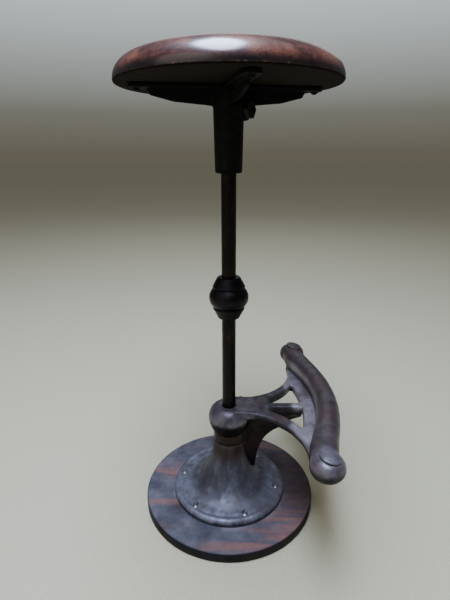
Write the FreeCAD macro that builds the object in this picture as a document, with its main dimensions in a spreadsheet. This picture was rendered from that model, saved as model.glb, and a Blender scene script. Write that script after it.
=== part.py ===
import FreeCAD, Part
import math
import operator
import os
import Sketcher

# Adjustable swivel stool. Millimetres, +Z up. The origin is on the floor, at the axis of the post,
# and +X points at the foot rest.

V = FreeCAD.Vector
doc = FreeCAD.newDocument("swivel_stool")
sheet = doc.addObject("Spreadsheet::Sheet", "dims")

DIMENSIONS = {
    # base board
    "base_diameter": 298,
    "base_thickness": 17.2,
    "base_edge_radius": 2,
    # cast pedestal
    "flange_diameter": 198,
    "flange_side_height": 5.5,
    "flange_bead_radius": 5.5,
    "flange_foot_radius": 84,
    "flange_foot_height": 29.5,
    "bell_lower_radius": 52,
    "bell_waist_radius": 53.5,
    "bell_waist_height": 45,
    "bell_upper_radius": 100,
    "neck_diameter": 55.2,
    "neck_start_height": 112,
    "neck_top_height": 119,
    "bell_wall": 6.5,
    "flange_lip": 9,
    "spigot_diameter": 38,
    "spigot_top_height": 156,
    "bore_bottom_height": 108,
    # flange screws
    "flange_screw_count": 6,
    "flange_screw_circle": 170,
    "flange_screw_turn": 48,
    "flange_screw_head": 10,
    "flange_head_sink": 1,
    "flange_head_edge": 2,
    "flange_head_dome": 1.6,
    "flange_screw_shank": 5,
    "flange_screw_depth": 10,
    # thrust washer
    "washer_thickness": 1.6,
    "washer_diameter": 51,
    # foot rest hub
    "hub_skirt_diameter": 53.2,
    "hub_groove_height": 137,
    "hub_groove_depth": 1.2,
    "hub_groove_width": 3,
    "hub_cap_diameter": 70.5,
    "hub_cap_height": 165,
    "hub_top_height": 186,
    "hub_top_diameter": 42,
    # foot rest bar
    "bar_reach": 162.5,
    "bar_height": 200,
    "bar_diameter": 36.4,
    "bar_bend_radius": 304,
    "bar_turn": 125,
    "knob_reach": 131,
    "knob_offset": 172,
    "knob_diameter": 49.5,
    "knob_thickness": 34.5,
    # foot rest arms, web and tongue
    "arm_top_height": 186.5,
    "arm_depth": 14.5,
    "arm_width": 14,
    "palm_start": 8,
    "palm_half_width": 25.5,
    "palm_end": 30,
    "arm_bend_radius": 97.6,
    "arm_end_reach": 115,
    "arm_end_offset": 117,
    "web_end_offset": 146,
    "web_under_bar": 10,
    "web_width": 28,
    "window_start": 70,
    "window_corner_offset": 68,
    "tongue_thickness": 10,
    "tongue_tip_height": 61,
    "tongue_tip_width": 4,
    "tongue_knee_reach": 60,
    "tongue_knee_height": 119,
    "tongue_knee_radius": 150,
    "tongue_brow_reach": 86,
    "tongue_brow_height": 142,
    "tongue_brow_radius": 60,
    "tongue_end_reach": 126,
    "tongue_end_height": 163,
    "tongue_end_radius": 90,
    # domed buttons in the bar's ball ends
    "button_diameter": 31,
    "button_seat_height": 14.5,
    "button_side_height": 2.9,
    "button_rise": 21.3,
    "button_shank_diameter": 8,
    "button_shank_length": 9,
    "button_tilt": 12,
    # hub screw and clamp pad
    "hub_screw_turn": 56,
    "hub_screw_height": 171,
    "hub_screw_diameter": 9.5,
    "hub_screw_head_start": 38,
    "hub_screw_head_thickness": 8,
    "square_head_width": 12.7,
    "clamp_pad_diameter": 8.5,
    "clamp_pad_thickness": 3.5,
    # post and its pins
    "post_diameter": 22.2,
    "post_bottom_height": 41,
    "post_top_height": 662,
    "post_chamfer": 1.2,
    "stop_pin_diameter": 5,
    "stop_pin_length": 32,
    "stop_pin_rise": 6.5,
    # turned bulb
    "bulb_centre_height": 380.5,
    "bulb_bead_radius": 30.7,
    "bulb_bead_half_height": 14.2,
    "bulb_groove_radius": 25,
    "bulb_tier_radius": 25.6,
    "bulb_tier_step": 1.8,
    "bulb_tier_bend": 42,
    "bulb_end_radius": 15.8,
    "bulb_half_height": 34.3,
    "bulb_pin_diameter": 4,
    "bulb_pin_offset": 25,
    # pivot ball
    "ball_diameter": 9.52,
    # seat bracket
    "socket_bottom_height": 567.8,
    "socket_bottom_diameter": 39,
    "socket_top_diameter": 44,
    "bracket_turn": 12,
    "bracket_arm_count": 4,
    "tab_reach": 134,
    "tab_width": 24,
    "tab_thickness": 6,
    "arm_web_thickness": 6,
    "arm_web_root_depth": 26,
    "arm_web_middle": 75,
    "arm_web_middle_depth": 21.5,
    "arm_web_step": 106,
    "arm_web_step_depth": 14,
    "arm_web_end": 113,
    "arm_web_end_radius": 9,
    # retaining screw and its lock nut
    "retaining_screw_height": 650,
    "retaining_screw_diameter": 9.5,
    "retaining_screw_tip": 6,
    "retaining_groove_width": 9,
    "retaining_groove_depth": 2.5,
    "boss_diameter": 28,
    "boss_reach": 29.5,
    "boss_turn": 45,
    "lock_nut_flats": 22,
    "lock_nut_thickness": 7,
    "slot_width": 1.6,
    "slot_depth": 2,
    # seat screws
    "seat_screw_reach": 123,
    "seat_screw_head": 11,
    "seat_screw_head_height": 3.6,
    "seat_screw_shank": 5,
    "seat_screw_depth": 14,
    # seat board
    "seat_diameter": 304.8,
    "seat_bottom_height": 681.6,
    "seat_thickness": 35.5,
    "seat_lower_edge_radius": 2.5,
    "seat_edge_height": 3.5,
    "seat_shoulder_inset": 7.8,
    "seat_shoulder_height": 21.3,
    "seat_shoulder_radius": 25,
    "seat_crown_inset": 24.8,
    "seat_crown_height": 31.6,
    "seat_crown_radius": 43,
    "seat_flat_inset": 43,
    "seat_flat_radius": 58,
    "seat_dome_rise": 1,
    # clearances
    "running_clearance": 0.08,
    "flat_clearance": 0.1,
    "ball_clearance": 0.3,
    "fixed_clearance": 0.02,
    "pin_end_clearance": 1,
    "groove_clearance": 0.3,
    "bell_clearance": 0.4,
    # how far a cutter runs past the face it cuts, and how deep one part of a casting runs into another
    "cut_allowance": 1,
    "casting_overlap": 1.6,
}


class Size:
    """A number with the spreadsheet expression that gives it, so that a sum of sizes can be bound."""

    def __init__(self, value, text):
        self.value = float(value)
        self.text = text

    def __add__(self, other):
        return combined(operator.add, self, "+", other)

    def __sub__(self, other):
        return combined(operator.sub, self, "-", other)

    def __mul__(self, other):
        return combined(operator.mul, self, "*", other)

    def __truediv__(self, other):
        return combined(operator.truediv, self, "/", other)

    def __neg__(self):
        return combined(operator.sub, 0, "-", self)


def size(item):
    return item if isinstance(item, Size) else Size(item, repr(item))


def combined(work, left, sign, right):
    left, right = size(left), size(right)
    return Size(work(left.value, right.value), f"({left.text} {sign} {right.text})")


def root(item):
    return Size(math.sqrt(item.value), f"sqrt({item.text})")


def sine(angle):
    return Size(math.sin(math.radians(angle.value)), f"sin({angle.text} * 1 deg)")


def cosine(angle):
    return Size(math.cos(math.radians(angle.value)), f"cos({angle.text} * 1 deg)")


def square(item):
    return item * item


for row, (alias, value) in enumerate(DIMENSIONS.items(), start=1):
    sheet.set(f"A{row}", alias.replace("_", " "))
    sheet.set(f"B{row}", str(value))
    sheet.setAlias(f"B{row}", alias)
doc.recompute()
D = {alias: Size(sheet.get(alias), f"dims.{alias}") for alias in DIMENSIONS}


# Helpers for bodies, sketches and features


def new_body(name):
    body = doc.addObject("PartDesign::Body", name)
    body.Label = name
    body.AllowCompound = True
    return body


def origin_item(body, role):
    return next(item for item in body.Origin.OriginFeatures if item.Role == role)


def bind(item, prop, amount):
    item.setExpression(prop, size(amount).text)


def new_sketch(body, name, plane, lift=0, turn=0):
    """A sketch on an origin plane, lifted along the plane's normal and turned about global Z."""
    sketch = body.newObject("Sketcher::SketchObject", name)
    sketch.AttachmentSupport = (origin_item(body, plane), [""])
    sketch.MapMode = "FlatFace"
    lift, turn = size(lift), size(turn)
    upright = plane != "XY_Plane"
    spin_axis = V(0, 1, 0) if upright else V(0, 0, 1)
    spin = FreeCAD.Rotation(spin_axis, turn.value)
    sketch.AttachmentOffset = FreeCAD.Placement(V(0, 0, lift.value), spin)
    bind(sketch, "AttachmentOffset.Base.z", lift)
    bind(sketch, "AttachmentOffset.Rotation.Angle", turn)
    return sketch


def fix_point(sketch, item, end, place):
    """Holds one point of the sketch at its two coordinates, each measured from the origin."""
    for kind, amount, axis in (("DistanceX", place[0], -2), ("DistanceY", place[1], -1)):
        amount = size(amount)
        if abs(amount.value) < 1e-9:
            sketch.addConstraint(Sketcher.Constraint("PointOnObject", item, end, axis))
            continue
        if amount.value > 0:
            points = (-1, 1, item, end)
        else:
            points = (item, end, -1, 1)
            amount = -amount
        index = sketch.addConstraint(Sketcher.Constraint(kind, *points, amount.value))
        bind(sketch, f"Constraints[{index}]", amount)


def plain_point(place):
    return V(size(place[0]).value, size(place[1]).value, 0)


def arc_between(first, last, radius):
    """The short arc from first to last; a positive radius turns left, a negative one turns right."""
    chord = last - first
    side = V(-chord.y, chord.x, 0).normalize()
    rise = math.sqrt(max(radius * radius - chord.Length**2 / 4, 0))
    centre = (first + last) * 0.5 + side * math.copysign(rise, radius)
    begin, finish = (first, last) if radius > 0 else (last, first)
    angles = [math.atan2((p - centre).y, (p - centre).x) for p in (begin, finish)]
    return Part.ArcOfCircle(Part.Circle(centre, V(0, 0, 1), abs(radius)), *angles)


def outline(sketch, corners):
    """A closed outline. Each corner is (x, y), or (x, y, radius) where an arc leads to it."""
    ends = []
    for last, corner in enumerate(corners):
        first = plain_point(corners[last - 1])
        place = plain_point(corner)
        if len(corner) == 3:
            radius = size(corner[2])
            item = sketch.addGeometry(arc_between(first, place, radius.value), False)
            leaving, arriving = (1, 2) if radius.value > 0 else (2, 1)
            bulge = radius if radius.value > 0 else -radius
            index = sketch.addConstraint(Sketcher.Constraint("Radius", item, bulge.value))
            bind(sketch, f"Constraints[{index}]", bulge)
        else:
            item = sketch.addGeometry(Part.LineSegment(first, place), False)
            leaving, arriving = 1, 2
        ends.append((item, leaving, arriving))
    for last, corner in enumerate(corners):
        item, leaving, arriving = ends[last]
        before = ends[last - 1]
        sketch.addConstraint(Sketcher.Constraint("Coincident", before[0], before[2], item, leaving))
        fix_point(sketch, item, arriving, corner)
    return [item for item, leaving, arriving in ends]


def circle(sketch, place, radius):
    radius = size(radius)
    item = sketch.addGeometry(Part.Circle(plain_point(place), V(0, 0, 1), radius.value), False)
    index = sketch.addConstraint(Sketcher.Constraint("Radius", item, radius.value))
    bind(sketch, f"Constraints[{index}]", radius)
    fix_point(sketch, item, 3, place)


def upright_axis(sketch, reach, height):
    """A construction line, parallel to the post, that screws away from the centre are turned about."""
    foot = (size(reach), size(0))
    head = (size(reach), size(height))
    item = sketch.addGeometry(Part.LineSegment(plain_point(foot), plain_point(head)), True)
    fix_point(sketch, item, 1, foot)
    fix_point(sketch, item, 2, head)


def feature(body, kind, name, sketch, **values):
    item = body.newObject(f"PartDesign::{kind}", name)
    item.Profile = sketch
    for prop, amount in values.items():
        if isinstance(amount, Size):
            bind(item, prop, amount)
        else:
            setattr(item, prop, amount)
    body.Tip = item
    sketch.Visibility = False
    doc.recompute()
    return item


def turned(body, name, sketch, axis="V_Axis", cut=False):
    kind = "Groove" if cut else "Revolution"
    return feature(body, kind, name, sketch, ReferenceAxis=(sketch, [axis]), Angle=360.0)


def pad(body, name, sketch, length, both_ways=False):
    return feature(body, "Pad", name, sketch, Length=size(length), Midplane=both_ways)


def cut_through(body, name, sketch, both_ways=True):
    item = feature(body, "Pocket", name, sketch, Midplane=both_ways, Reversed=not both_ways)
    item.Type = "ThroughAll"
    doc.recompute()
    return item


def around(body, name, items, count):
    pattern = body.newObject("PartDesign::PolarPattern", name)
    pattern.Originals = items
    pattern.Axis = (origin_item(body, "Z_Axis"), [""])
    pattern.Angle = 360
    bind(pattern, "Occurrences", count)
    body.Tip = pattern
    doc.recompute()
    return pattern


def place(item, base=(0, 0, 0), axis=(0, 0, 1), angle=0):
    """Puts a sub-part in its place: base holds sizes, and the turn is about axis."""
    base = [size(part) for part in base]
    angle = size(angle)
    spin = FreeCAD.Rotation(V(*axis), angle.value)
    item.Placement = FreeCAD.Placement(V(*[part.value for part in base]), spin)
    for letter, part in zip("xyz", base):
        bind(item, f"Placement.Base.{letter}", part)
    bind(item, "Placement.Rotation.Angle", angle)
    doc.recompute()


# Sizes that several sub-parts share

post_radius = D["post_diameter"] / 2
bore_radius = post_radius + D["running_clearance"]
neck_radius = D["neck_diameter"] / 2
spigot_radius = D["spigot_diameter"] / 2
washer_top = D["neck_top_height"] + D["washer_thickness"]
hub_bottom = washer_top + D["flat_clearance"]
hub_bore_radius = spigot_radius + D["running_clearance"]
spigot_gap_top = D["spigot_top_height"] + D["pin_end_clearance"]
flange_top = D["base_thickness"] + D["flange_side_height"] + D["flange_bead_radius"]
flange_screw_reach = D["flange_screw_circle"] / 2
flange_head_radius = D["flange_screw_head"] / 2
flange_shank_radius = D["flange_screw_shank"] / 2
flange_screw_tip = D["base_thickness"] - D["flange_screw_depth"]
countersink_bottom = D["flange_foot_height"] - flange_head_radius
seat_head_radius = D["seat_screw_head"] / 2
seat_shank_radius = D["seat_screw_shank"] / 2
tab_bottom = D["seat_bottom_height"] - D["tab_thickness"]
seat_screw_tip = D["seat_bottom_height"] + D["seat_screw_depth"]
screw_axis_height = D["retaining_screw_height"]
retaining_radius = D["retaining_screw_diameter"] / 2
nut_start = D["boss_reach"] + D["flat_clearance"]
retaining_screw_end = nut_start + D["lock_nut_thickness"]
stop_pin_height = D["post_bottom_height"] + D["stop_pin_rise"]
bulb_pin_height = D["bulb_centre_height"] - D["bulb_pin_offset"]
clamp_pad_start = post_radius + D["flat_clearance"]
clamp_pad_end = clamp_pad_start + D["clamp_pad_thickness"]
ball_radius = D["ball_diameter"] / 2
ball_height = D["post_top_height"] + ball_radius - D["post_chamfer"]
crown_bottom = ball_height + ball_radius + D["ball_clearance"]
screw_turn = D["bracket_turn"] - D["boss_turn"]


def make_base_board():
    body = new_body("base_board")
    sketch = new_sketch(body, "base_disc", "XY_Plane")
    circle(sketch, (0, 0), D["base_diameter"] / 2)
    board = pad(body, "base_board_disc", sketch, D["base_thickness"])
    fillet = body.newObject("PartDesign::Fillet", "base_edges")
    fillet.Base = (board, ["Edge1", "Edge3"])
    bind(fillet, "Radius", D["base_edge_radius"])
    body.Tip = fillet
    doc.recompute()
    sketch = new_sketch(body, "base_pilot", "XZ_Plane")
    radius = flange_shank_radius + D["fixed_clearance"]
    lower = flange_screw_tip - D["fixed_clearance"]
    upper = D["base_thickness"] + D["cut_allowance"]
    outline(
        sketch,
        [
            (flange_screw_reach, lower),
            (flange_screw_reach + radius, lower),
            (flange_screw_reach + radius, upper),
            (flange_screw_reach, upper),
        ],
    )
    upright_axis(sketch, flange_screw_reach, upper)
    hole = turned(body, "base_pilot_hole", sketch, "Axis0", cut=True)
    around(body, "base_pilot_holes", [hole], D["flange_screw_count"])
    place(body, angle=D["flange_screw_turn"])
    return body


def make_pedestal():
    body = new_body("pedestal")
    sketch = new_sketch(body, "pedestal_profile", "XZ_Plane")
    flange_radius = D["flange_diameter"] / 2
    wall = D["bell_wall"]
    side_top = D["base_thickness"] + D["flange_side_height"]
    outline(
        sketch,
        [
            (flange_radius - D["flange_lip"], D["base_thickness"]),
            (flange_radius, D["base_thickness"]),
            (flange_radius, side_top),
            (flange_radius - D["flange_bead_radius"], flange_top, D["flange_bead_radius"]),
            (D["flange_foot_radius"], D["flange_foot_height"]),
            (D["bell_waist_radius"], D["bell_waist_height"], -D["bell_lower_radius"]),
            (neck_radius, D["neck_start_height"], -D["bell_upper_radius"]),
            (neck_radius, D["neck_top_height"]),
            (spigot_radius, D["neck_top_height"]),
            (spigot_radius, D["spigot_top_height"]),
            (bore_radius, D["spigot_top_height"]),
            (bore_radius, D["bore_bottom_height"]),
            (neck_radius - wall, D["bore_bottom_height"]),
            (
                D["bell_waist_radius"] - wall,
                D["bell_waist_height"] - wall,
                D["bell_upper_radius"] + wall,
            ),
            (
                D["flange_foot_radius"] - wall,
                D["flange_foot_height"] - wall,
                D["bell_lower_radius"] + wall,
            ),
        ],
    )
    turned(body, "pedestal_casting", sketch)
    sketch = new_sketch(body, "countersink_profile", "XZ_Plane")
    gap = D["fixed_clearance"]
    top = D["flange_foot_height"] + D["cut_allowance"]
    low = D["base_thickness"] - D["cut_allowance"]
    head_edge = D["flange_foot_height"] - D["flange_head_edge"]
    outline(
        sketch,
        [
            (flange_screw_reach, low),
            (flange_screw_reach + flange_shank_radius + gap, low),
            (flange_screw_reach + flange_shank_radius + gap, countersink_bottom),
            (flange_screw_reach + flange_head_radius + gap, head_edge),
            (flange_screw_reach + flange_head_radius + gap, top),
            (flange_screw_reach, top),
        ],
    )
    upright_axis(sketch, flange_screw_reach, top)
    hole = turned(body, "countersink", sketch, "Axis0", cut=True)
    around(body, "countersinks", [hole], D["flange_screw_count"])
    place(body, angle=D["flange_screw_turn"])
    return body


def make_flange_screws():
    body = new_body("flange_screws")
    sketch = new_sketch(body, "flange_screw_profile", "XZ_Plane")
    head_low = D["flange_foot_height"] - D["flange_head_edge"] + D["fixed_clearance"]
    head_edge = D["flange_foot_height"] - D["flange_head_sink"]
    crown = head_edge + D["flange_head_dome"]
    dome = D["flange_head_dome"]
    dome_radius = (square(flange_head_radius) + square(dome)) / (dome * 2)
    head_side = flange_screw_reach + flange_head_radius
    shank_side = flange_screw_reach + flange_shank_radius
    outline(
        sketch,
        [
            (flange_screw_reach, flange_screw_tip),
            (shank_side, flange_screw_tip + D["flange_screw_shank"]),
            (shank_side, countersink_bottom + D["fixed_clearance"]),
            (head_side, head_low),
            (head_side, head_edge),
            (flange_screw_reach, crown, dome_radius),
        ],
    )
    upright_axis(sketch, flange_screw_reach, crown)
    screw = turned(body, "flange_screw", sketch, "Axis0")
    around(body, "flange_screw_ring", [screw], D["flange_screw_count"])
    place(body, angle=D["flange_screw_turn"])
    return body


def make_thrust_washer():
    body = new_body("thrust_washer")
    sketch = new_sketch(body, "washer_rings", "XY_Plane", lift=D["neck_top_height"])
    circle(sketch, (0, 0), D["washer_diameter"] / 2)
    circle(sketch, (0, 0), hub_bore_radius)
    pad(body, "washer_ring", sketch, D["washer_thickness"])
    return body


def hub_profile(sketch):
    skirt = D["hub_skirt_diameter"] / 2
    cap = D["hub_cap_diameter"] / 2
    top = D["hub_top_diameter"] / 2
    groove_bottom = D["hub_groove_height"] - D["hub_groove_width"] / 2
    groove_top = D["hub_groove_height"] + D["hub_groove_width"] / 2
    under_drop = D["hub_cap_height"] - groove_top
    over_rise = D["hub_top_height"] - D["hub_cap_height"]
    under_radius = (square(cap - skirt) + square(under_drop)) / ((cap - skirt) * 2)
    over_radius = (square(cap - top) + square(over_rise)) / ((cap - top) * 2)
    outline(
        sketch,
        [
            (bore_radius, D["hub_top_height"]),
            (bore_radius, spigot_gap_top),
            (hub_bore_radius, spigot_gap_top),
            (hub_bore_radius, hub_bottom),
            (skirt, hub_bottom),
            (skirt, groove_bottom),
            (skirt - D["hub_groove_depth"], D["hub_groove_height"]),
            (skirt, groove_top),
            (cap, D["hub_cap_height"], under_radius),
            (top, D["hub_top_height"], over_radius),
        ],
    )


def arms_outline(sketch):
    """The half of the arms and web beyond the centre line; the other half is its mirror image."""
    inner_bend = D["bar_bend_radius"] - D["web_under_bar"]
    window_bend = inner_bend - D["web_width"]
    bend_centre = D["bar_reach"] - D["bar_bend_radius"]
    turn_reach = bend_centre + root(square(inner_bend) - square(D["bar_turn"]))
    outline(
        sketch,
        [
            (D["palm_start"], 0),
            (bend_centre + inner_bend, 0),
            (turn_reach, D["bar_turn"], inner_bend),
            (D["knob_reach"] - D["web_under_bar"], D["web_end_offset"]),
            (D["arm_end_reach"], D["web_end_offset"]),
            (D["arm_end_reach"], D["arm_end_offset"]),
            (D["palm_end"], D["palm_half_width"], -D["arm_bend_radius"]),
            (D["palm_start"], D["palm_half_width"]),
        ],
    )
    middle_edge = D["arm_width"] / 2
    corner = D["window_corner_offset"]
    far_reach = bend_centre + root(square(window_bend) - square(middle_edge))
    corner_reach = bend_centre + root(square(window_bend) - square(corner))
    arm_radius = D["arm_bend_radius"] + D["arm_width"]
    arm_centre_offset = D["arm_end_offset"]
    arm_centre_reach = D["arm_end_reach"] - D["arm_bend_radius"]
    window_rise = arm_centre_offset - root(
        square(arm_radius) - square(D["window_start"] - arm_centre_reach)
    )
    outline(
        sketch,
        [
            (D["window_start"], middle_edge),
            (far_reach, middle_edge),
            (corner_reach, corner, window_bend),
            (D["window_start"], window_rise, -arm_radius),
        ],
    )


def tongue_outline(sketch):
    """The tongue hangs from the middle arm to the bell, which it clears by a hair all the way down."""
    bell_centre = neck_radius + D["bell_upper_radius"]
    edge_radius = D["bell_upper_radius"] - D["bell_clearance"]
    drop = D["neck_start_height"] - D["tongue_tip_height"]
    tip_reach = bell_centre - root(square(edge_radius) - square(drop))
    edge_start = neck_radius + D["bell_clearance"]
    top = D["arm_top_height"] - D["arm_depth"] + D["casting_overlap"]
    inside = hub_bore_radius + D["casting_overlap"]
    outline(
        sketch,
        [
            (inside, hub_bottom),
            (edge_start, hub_bottom),
            (edge_start, D["neck_start_height"]),
            (tip_reach, D["tongue_tip_height"], edge_radius),
            (tip_reach + D["tongue_tip_width"], D["tongue_tip_height"]),
            (D["tongue_knee_reach"], D["tongue_knee_height"], -D["tongue_knee_radius"]),
            (D["tongue_brow_reach"], D["tongue_brow_height"], -D["tongue_brow_radius"]),
            (D["tongue_end_reach"], D["tongue_end_height"], -D["tongue_end_radius"]),
            (D["tongue_end_reach"], top),
            (inside, top),
        ],
    )


def bar_path(sketch):
    """Half of the bar's centre line: a long bend about the post side, then a short one outwards."""
    bend_centre = D["bar_reach"] - D["bar_bend_radius"]
    reach = D["bar_reach"]
    turn_x = bend_centre + root(square(D["bar_bend_radius"]) - square(D["bar_turn"]))
    first = arc_between(
        V(reach.value, 0, 0), V(turn_x.value, D["bar_turn"].value, 0), D["bar_bend_radius"].value
    )
    long_arc = sketch.addGeometry(first, False)
    chord_x = D["knob_reach"] - turn_x
    chord_y = D["knob_offset"] - D["bar_turn"]
    chord = root(square(chord_x) + square(chord_y))
    # the turn between the long bend's end direction and the chord to the ball's centre
    along_x = -(D["bar_turn"] / D["bar_bend_radius"])
    along_y = (turn_x - bend_centre) / D["bar_bend_radius"]
    half_turn_sine = (along_y * chord_x - along_x * chord_y) / chord
    end_radius = chord / (half_turn_sine * 2)
    second = arc_between(
        V(turn_x.value, D["bar_turn"].value, 0),
        V(D["knob_reach"].value, D["knob_offset"].value, 0),
        -end_radius.value,
    )
    short_arc = sketch.addGeometry(second, False)
    sketch.addConstraint(Sketcher.Constraint("Coincident", long_arc, 2, short_arc, 2))
    for item, bend in ((long_arc, D["bar_bend_radius"]), (short_arc, end_radius)):
        index = sketch.addConstraint(Sketcher.Constraint("Radius", item, bend.value))
        bind(sketch, f"Constraints[{index}]", bend)
    fix_point(sketch, long_arc, 1, (reach, 0))
    fix_point(sketch, long_arc, 2, (turn_x, D["bar_turn"]))
    fix_point(sketch, short_arc, 1, (D["knob_reach"], D["knob_offset"]))


def make_foot_rest():
    body = new_body("foot_rest_casting")
    sketch = new_sketch(body, "hub_profile", "XZ_Plane")
    hub_profile(sketch)
    turned(body, "hub", sketch)
    path = new_sketch(body, "bar_path", "XY_Plane", lift=D["bar_height"])
    bar_path(path)
    section = new_sketch(body, "bar_section", "XZ_Plane")
    circle(section, (D["bar_reach"], D["bar_height"]), D["bar_diameter"] / 2)
    bar = feature(body, "AdditivePipe", "bar_half", section, Spine=(path, ["Edge1", "Edge2"]))
    sketch = new_sketch(body, "knob_profile", "XZ_Plane", lift=-D["knob_offset"])
    half = D["knob_thickness"] / 2
    flat = D["knob_reach"] + D["knob_diameter"] / 2 - half
    outline(
        sketch,
        [
            (D["knob_reach"], D["bar_height"] - half),
            (flat, D["bar_height"] - half),
            (flat + half, D["bar_height"], half),
            (flat, D["bar_height"] + half, half),
            (D["knob_reach"], D["bar_height"] + half),
        ],
    )
    upright_axis(sketch, D["knob_reach"], D["bar_height"])
    knob = turned(body, "knob", sketch, "Axis0")
    sketch = new_sketch(body, "arms_outline", "XY_Plane", lift=D["arm_top_height"] - D["arm_depth"])
    arms_outline(sketch)
    arms = pad(body, "arms_half", sketch, D["arm_depth"])
    mirror = body.newObject("PartDesign::Mirrored", "other_half")
    mirror.Originals = [bar, knob, arms]
    mirror.MirrorPlane = (origin_item(body, "XZ_Plane"), [""])
    body.Tip = mirror
    doc.recompute()
    sketch = new_sketch(body, "tongue_outline", "XZ_Plane")
    tongue_outline(sketch)
    pad(body, "tongue", sketch, D["tongue_thickness"], both_ways=True)
    sketch = new_sketch(body, "hub_clear_bore", "XY_Plane", lift=hub_bottom)
    circle(sketch, (0, 0), bore_radius)
    cut_through(body, "post_bore", sketch)
    sketch = new_sketch(body, "hub_screw_hole", "YZ_Plane", turn=D["hub_screw_turn"])
    circle(sketch, (0, D["hub_screw_height"]), D["hub_screw_diameter"] / 2 + D["running_clearance"])
    feature(
        body,
        "Pocket",
        "hub_screw_bore",
        sketch,
        Length=D["hub_screw_head_start"] + D["hub_screw_head_thickness"],
        Reversed=True,
    )
    cut = doc.addObject("Part::Cut", "foot_rest")
    cut.Label = "foot_rest"
    cut.Base = body
    cut.Tool = button_seats()
    doc.recompute()
    return cut


def button_place(item, side, height):
    """Puts a turned piece on a ball end's button axis, at a height above the ball's centre."""
    tilt = D["button_tilt"]
    base = (
        D["knob_reach"] + sine(tilt) * height,
        D["knob_offset"] * side,
        D["bar_height"] + cosine(tilt) * height,
    )
    place(item, base, axis=(0, 1, 0), angle=tilt)


def button_seats():
    seats = doc.addObject("Part::Compound", "button_seats")
    cutters = []
    gap = D["fixed_clearance"]
    for name, side in (("near", -1), ("far", 1)):
        for kind, radius, low, depth in (
            ("recess", D["button_diameter"] / 2 + gap, D["button_seat_height"], D["knob_diameter"]),
            (
                "socket",
                D["button_shank_diameter"] / 2 + gap,
                D["button_seat_height"] - D["button_shank_length"] - gap,
                D["button_shank_length"] + D["cut_allowance"],
            ),
        ):
            cutter = doc.addObject("Part::Cylinder", f"button_{kind}_{name}")
            bind(cutter, "Radius", radius)
            bind(cutter, "Height", depth)
            button_place(cutter, side, low)
            cutters.append(cutter)
    seats.Links = cutters
    doc.recompute()
    return seats


def make_button(name, side):
    body = new_body(name)
    sketch = new_sketch(body, f"{name}_profile", "XZ_Plane")
    radius = D["button_diameter"] / 2
    shank = D["button_shank_diameter"] / 2
    dome = D["button_rise"] - D["button_seat_height"] - D["button_side_height"]
    dome_radius = (square(radius) + square(dome)) / (dome * 2)
    outline(
        sketch,
        [
            (0, -D["button_shank_length"]),
            (shank, -D["button_shank_length"]),
            (shank, 0),
            (radius, 0),
            (radius, D["button_side_height"]),
            (0, D["button_rise"] - D["button_seat_height"], dome_radius),
        ],
    )
    turned(body, f"{name}_turning", sketch)
    button_place(body, side, D["button_seat_height"])
    return body


def make_clamp_pad():
    body = new_body("clamp_pad")
    sketch = new_sketch(body, "clamp_pad_disc", "YZ_Plane", lift=clamp_pad_start)
    circle(sketch, (0, 0), D["clamp_pad_diameter"] / 2)
    pad(body, "clamp_pad_turning", sketch, D["clamp_pad_thickness"])
    place(body, (0, 0, D["hub_screw_height"]), angle=D["hub_screw_turn"])
    return body


def make_hub_screw():
    body = new_body("hub_screw")
    start = clamp_pad_end + D["flat_clearance"]
    head = D["hub_screw_head_start"]
    sketch = new_sketch(body, "hub_screw_thread", "YZ_Plane", lift=start)
    circle(sketch, (0, 0), D["hub_screw_diameter"] / 2)
    pad(body, "hub_screw_shank", sketch, head - start)
    sketch = new_sketch(body, "hub_screw_square", "YZ_Plane", lift=head)
    half = D["square_head_width"] / 2
    outline(sketch, [(-half, -half), (half, -half), (half, half), (-half, half)])
    pad(body, "hub_screw_head", sketch, D["hub_screw_head_thickness"])
    place(body, (0, 0, D["hub_screw_height"]), angle=D["hub_screw_turn"])
    return body


def make_post():
    body = new_body("post")
    sketch = new_sketch(body, "post_profile", "XZ_Plane")
    bottom = D["post_bottom_height"]
    top = D["post_top_height"]
    chamfer = D["post_chamfer"]
    groove_low = screw_axis_height - D["retaining_groove_width"] / 2
    groove_high = screw_axis_height + D["retaining_groove_width"] / 2
    groove_radius = post_radius - D["retaining_groove_depth"]
    cup = ball_radius + D["fixed_clearance"]
    cup_low = ball_height - cup
    cup_side = root(square(cup) - square(ball_height - top))
    outline(
        sketch,
        [
            (0, bottom),
            (post_radius - chamfer, bottom),
            (post_radius, bottom + chamfer),
            (post_radius, groove_low),
            (groove_radius, groove_low),
            (groove_radius, groove_high),
            (post_radius, groove_high),
            (post_radius, top - chamfer),
            (post_radius - chamfer, top),
            (cup_side, top),
            (0, cup_low, -cup),
        ],
    )
    turned(body, "post_rod", sketch)
    for name, height, diameter in (
        ("stop_pin_hole", stop_pin_height, D["stop_pin_diameter"]),
        ("bulb_pin_hole", bulb_pin_height, D["bulb_pin_diameter"]),
    ):
        sketch = new_sketch(body, f"{name}_circle", "YZ_Plane")
        circle(sketch, (0, height), diameter / 2 + D["fixed_clearance"])
        cut_through(body, name, sketch)
    return body


def make_pin(name, height, diameter, length):
    body = new_body(name)
    sketch = new_sketch(body, f"{name}_circle", "YZ_Plane")
    circle(sketch, (0, height), diameter / 2)
    pad(body, f"{name}_rod", sketch, length, both_ways=True)
    return body


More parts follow.
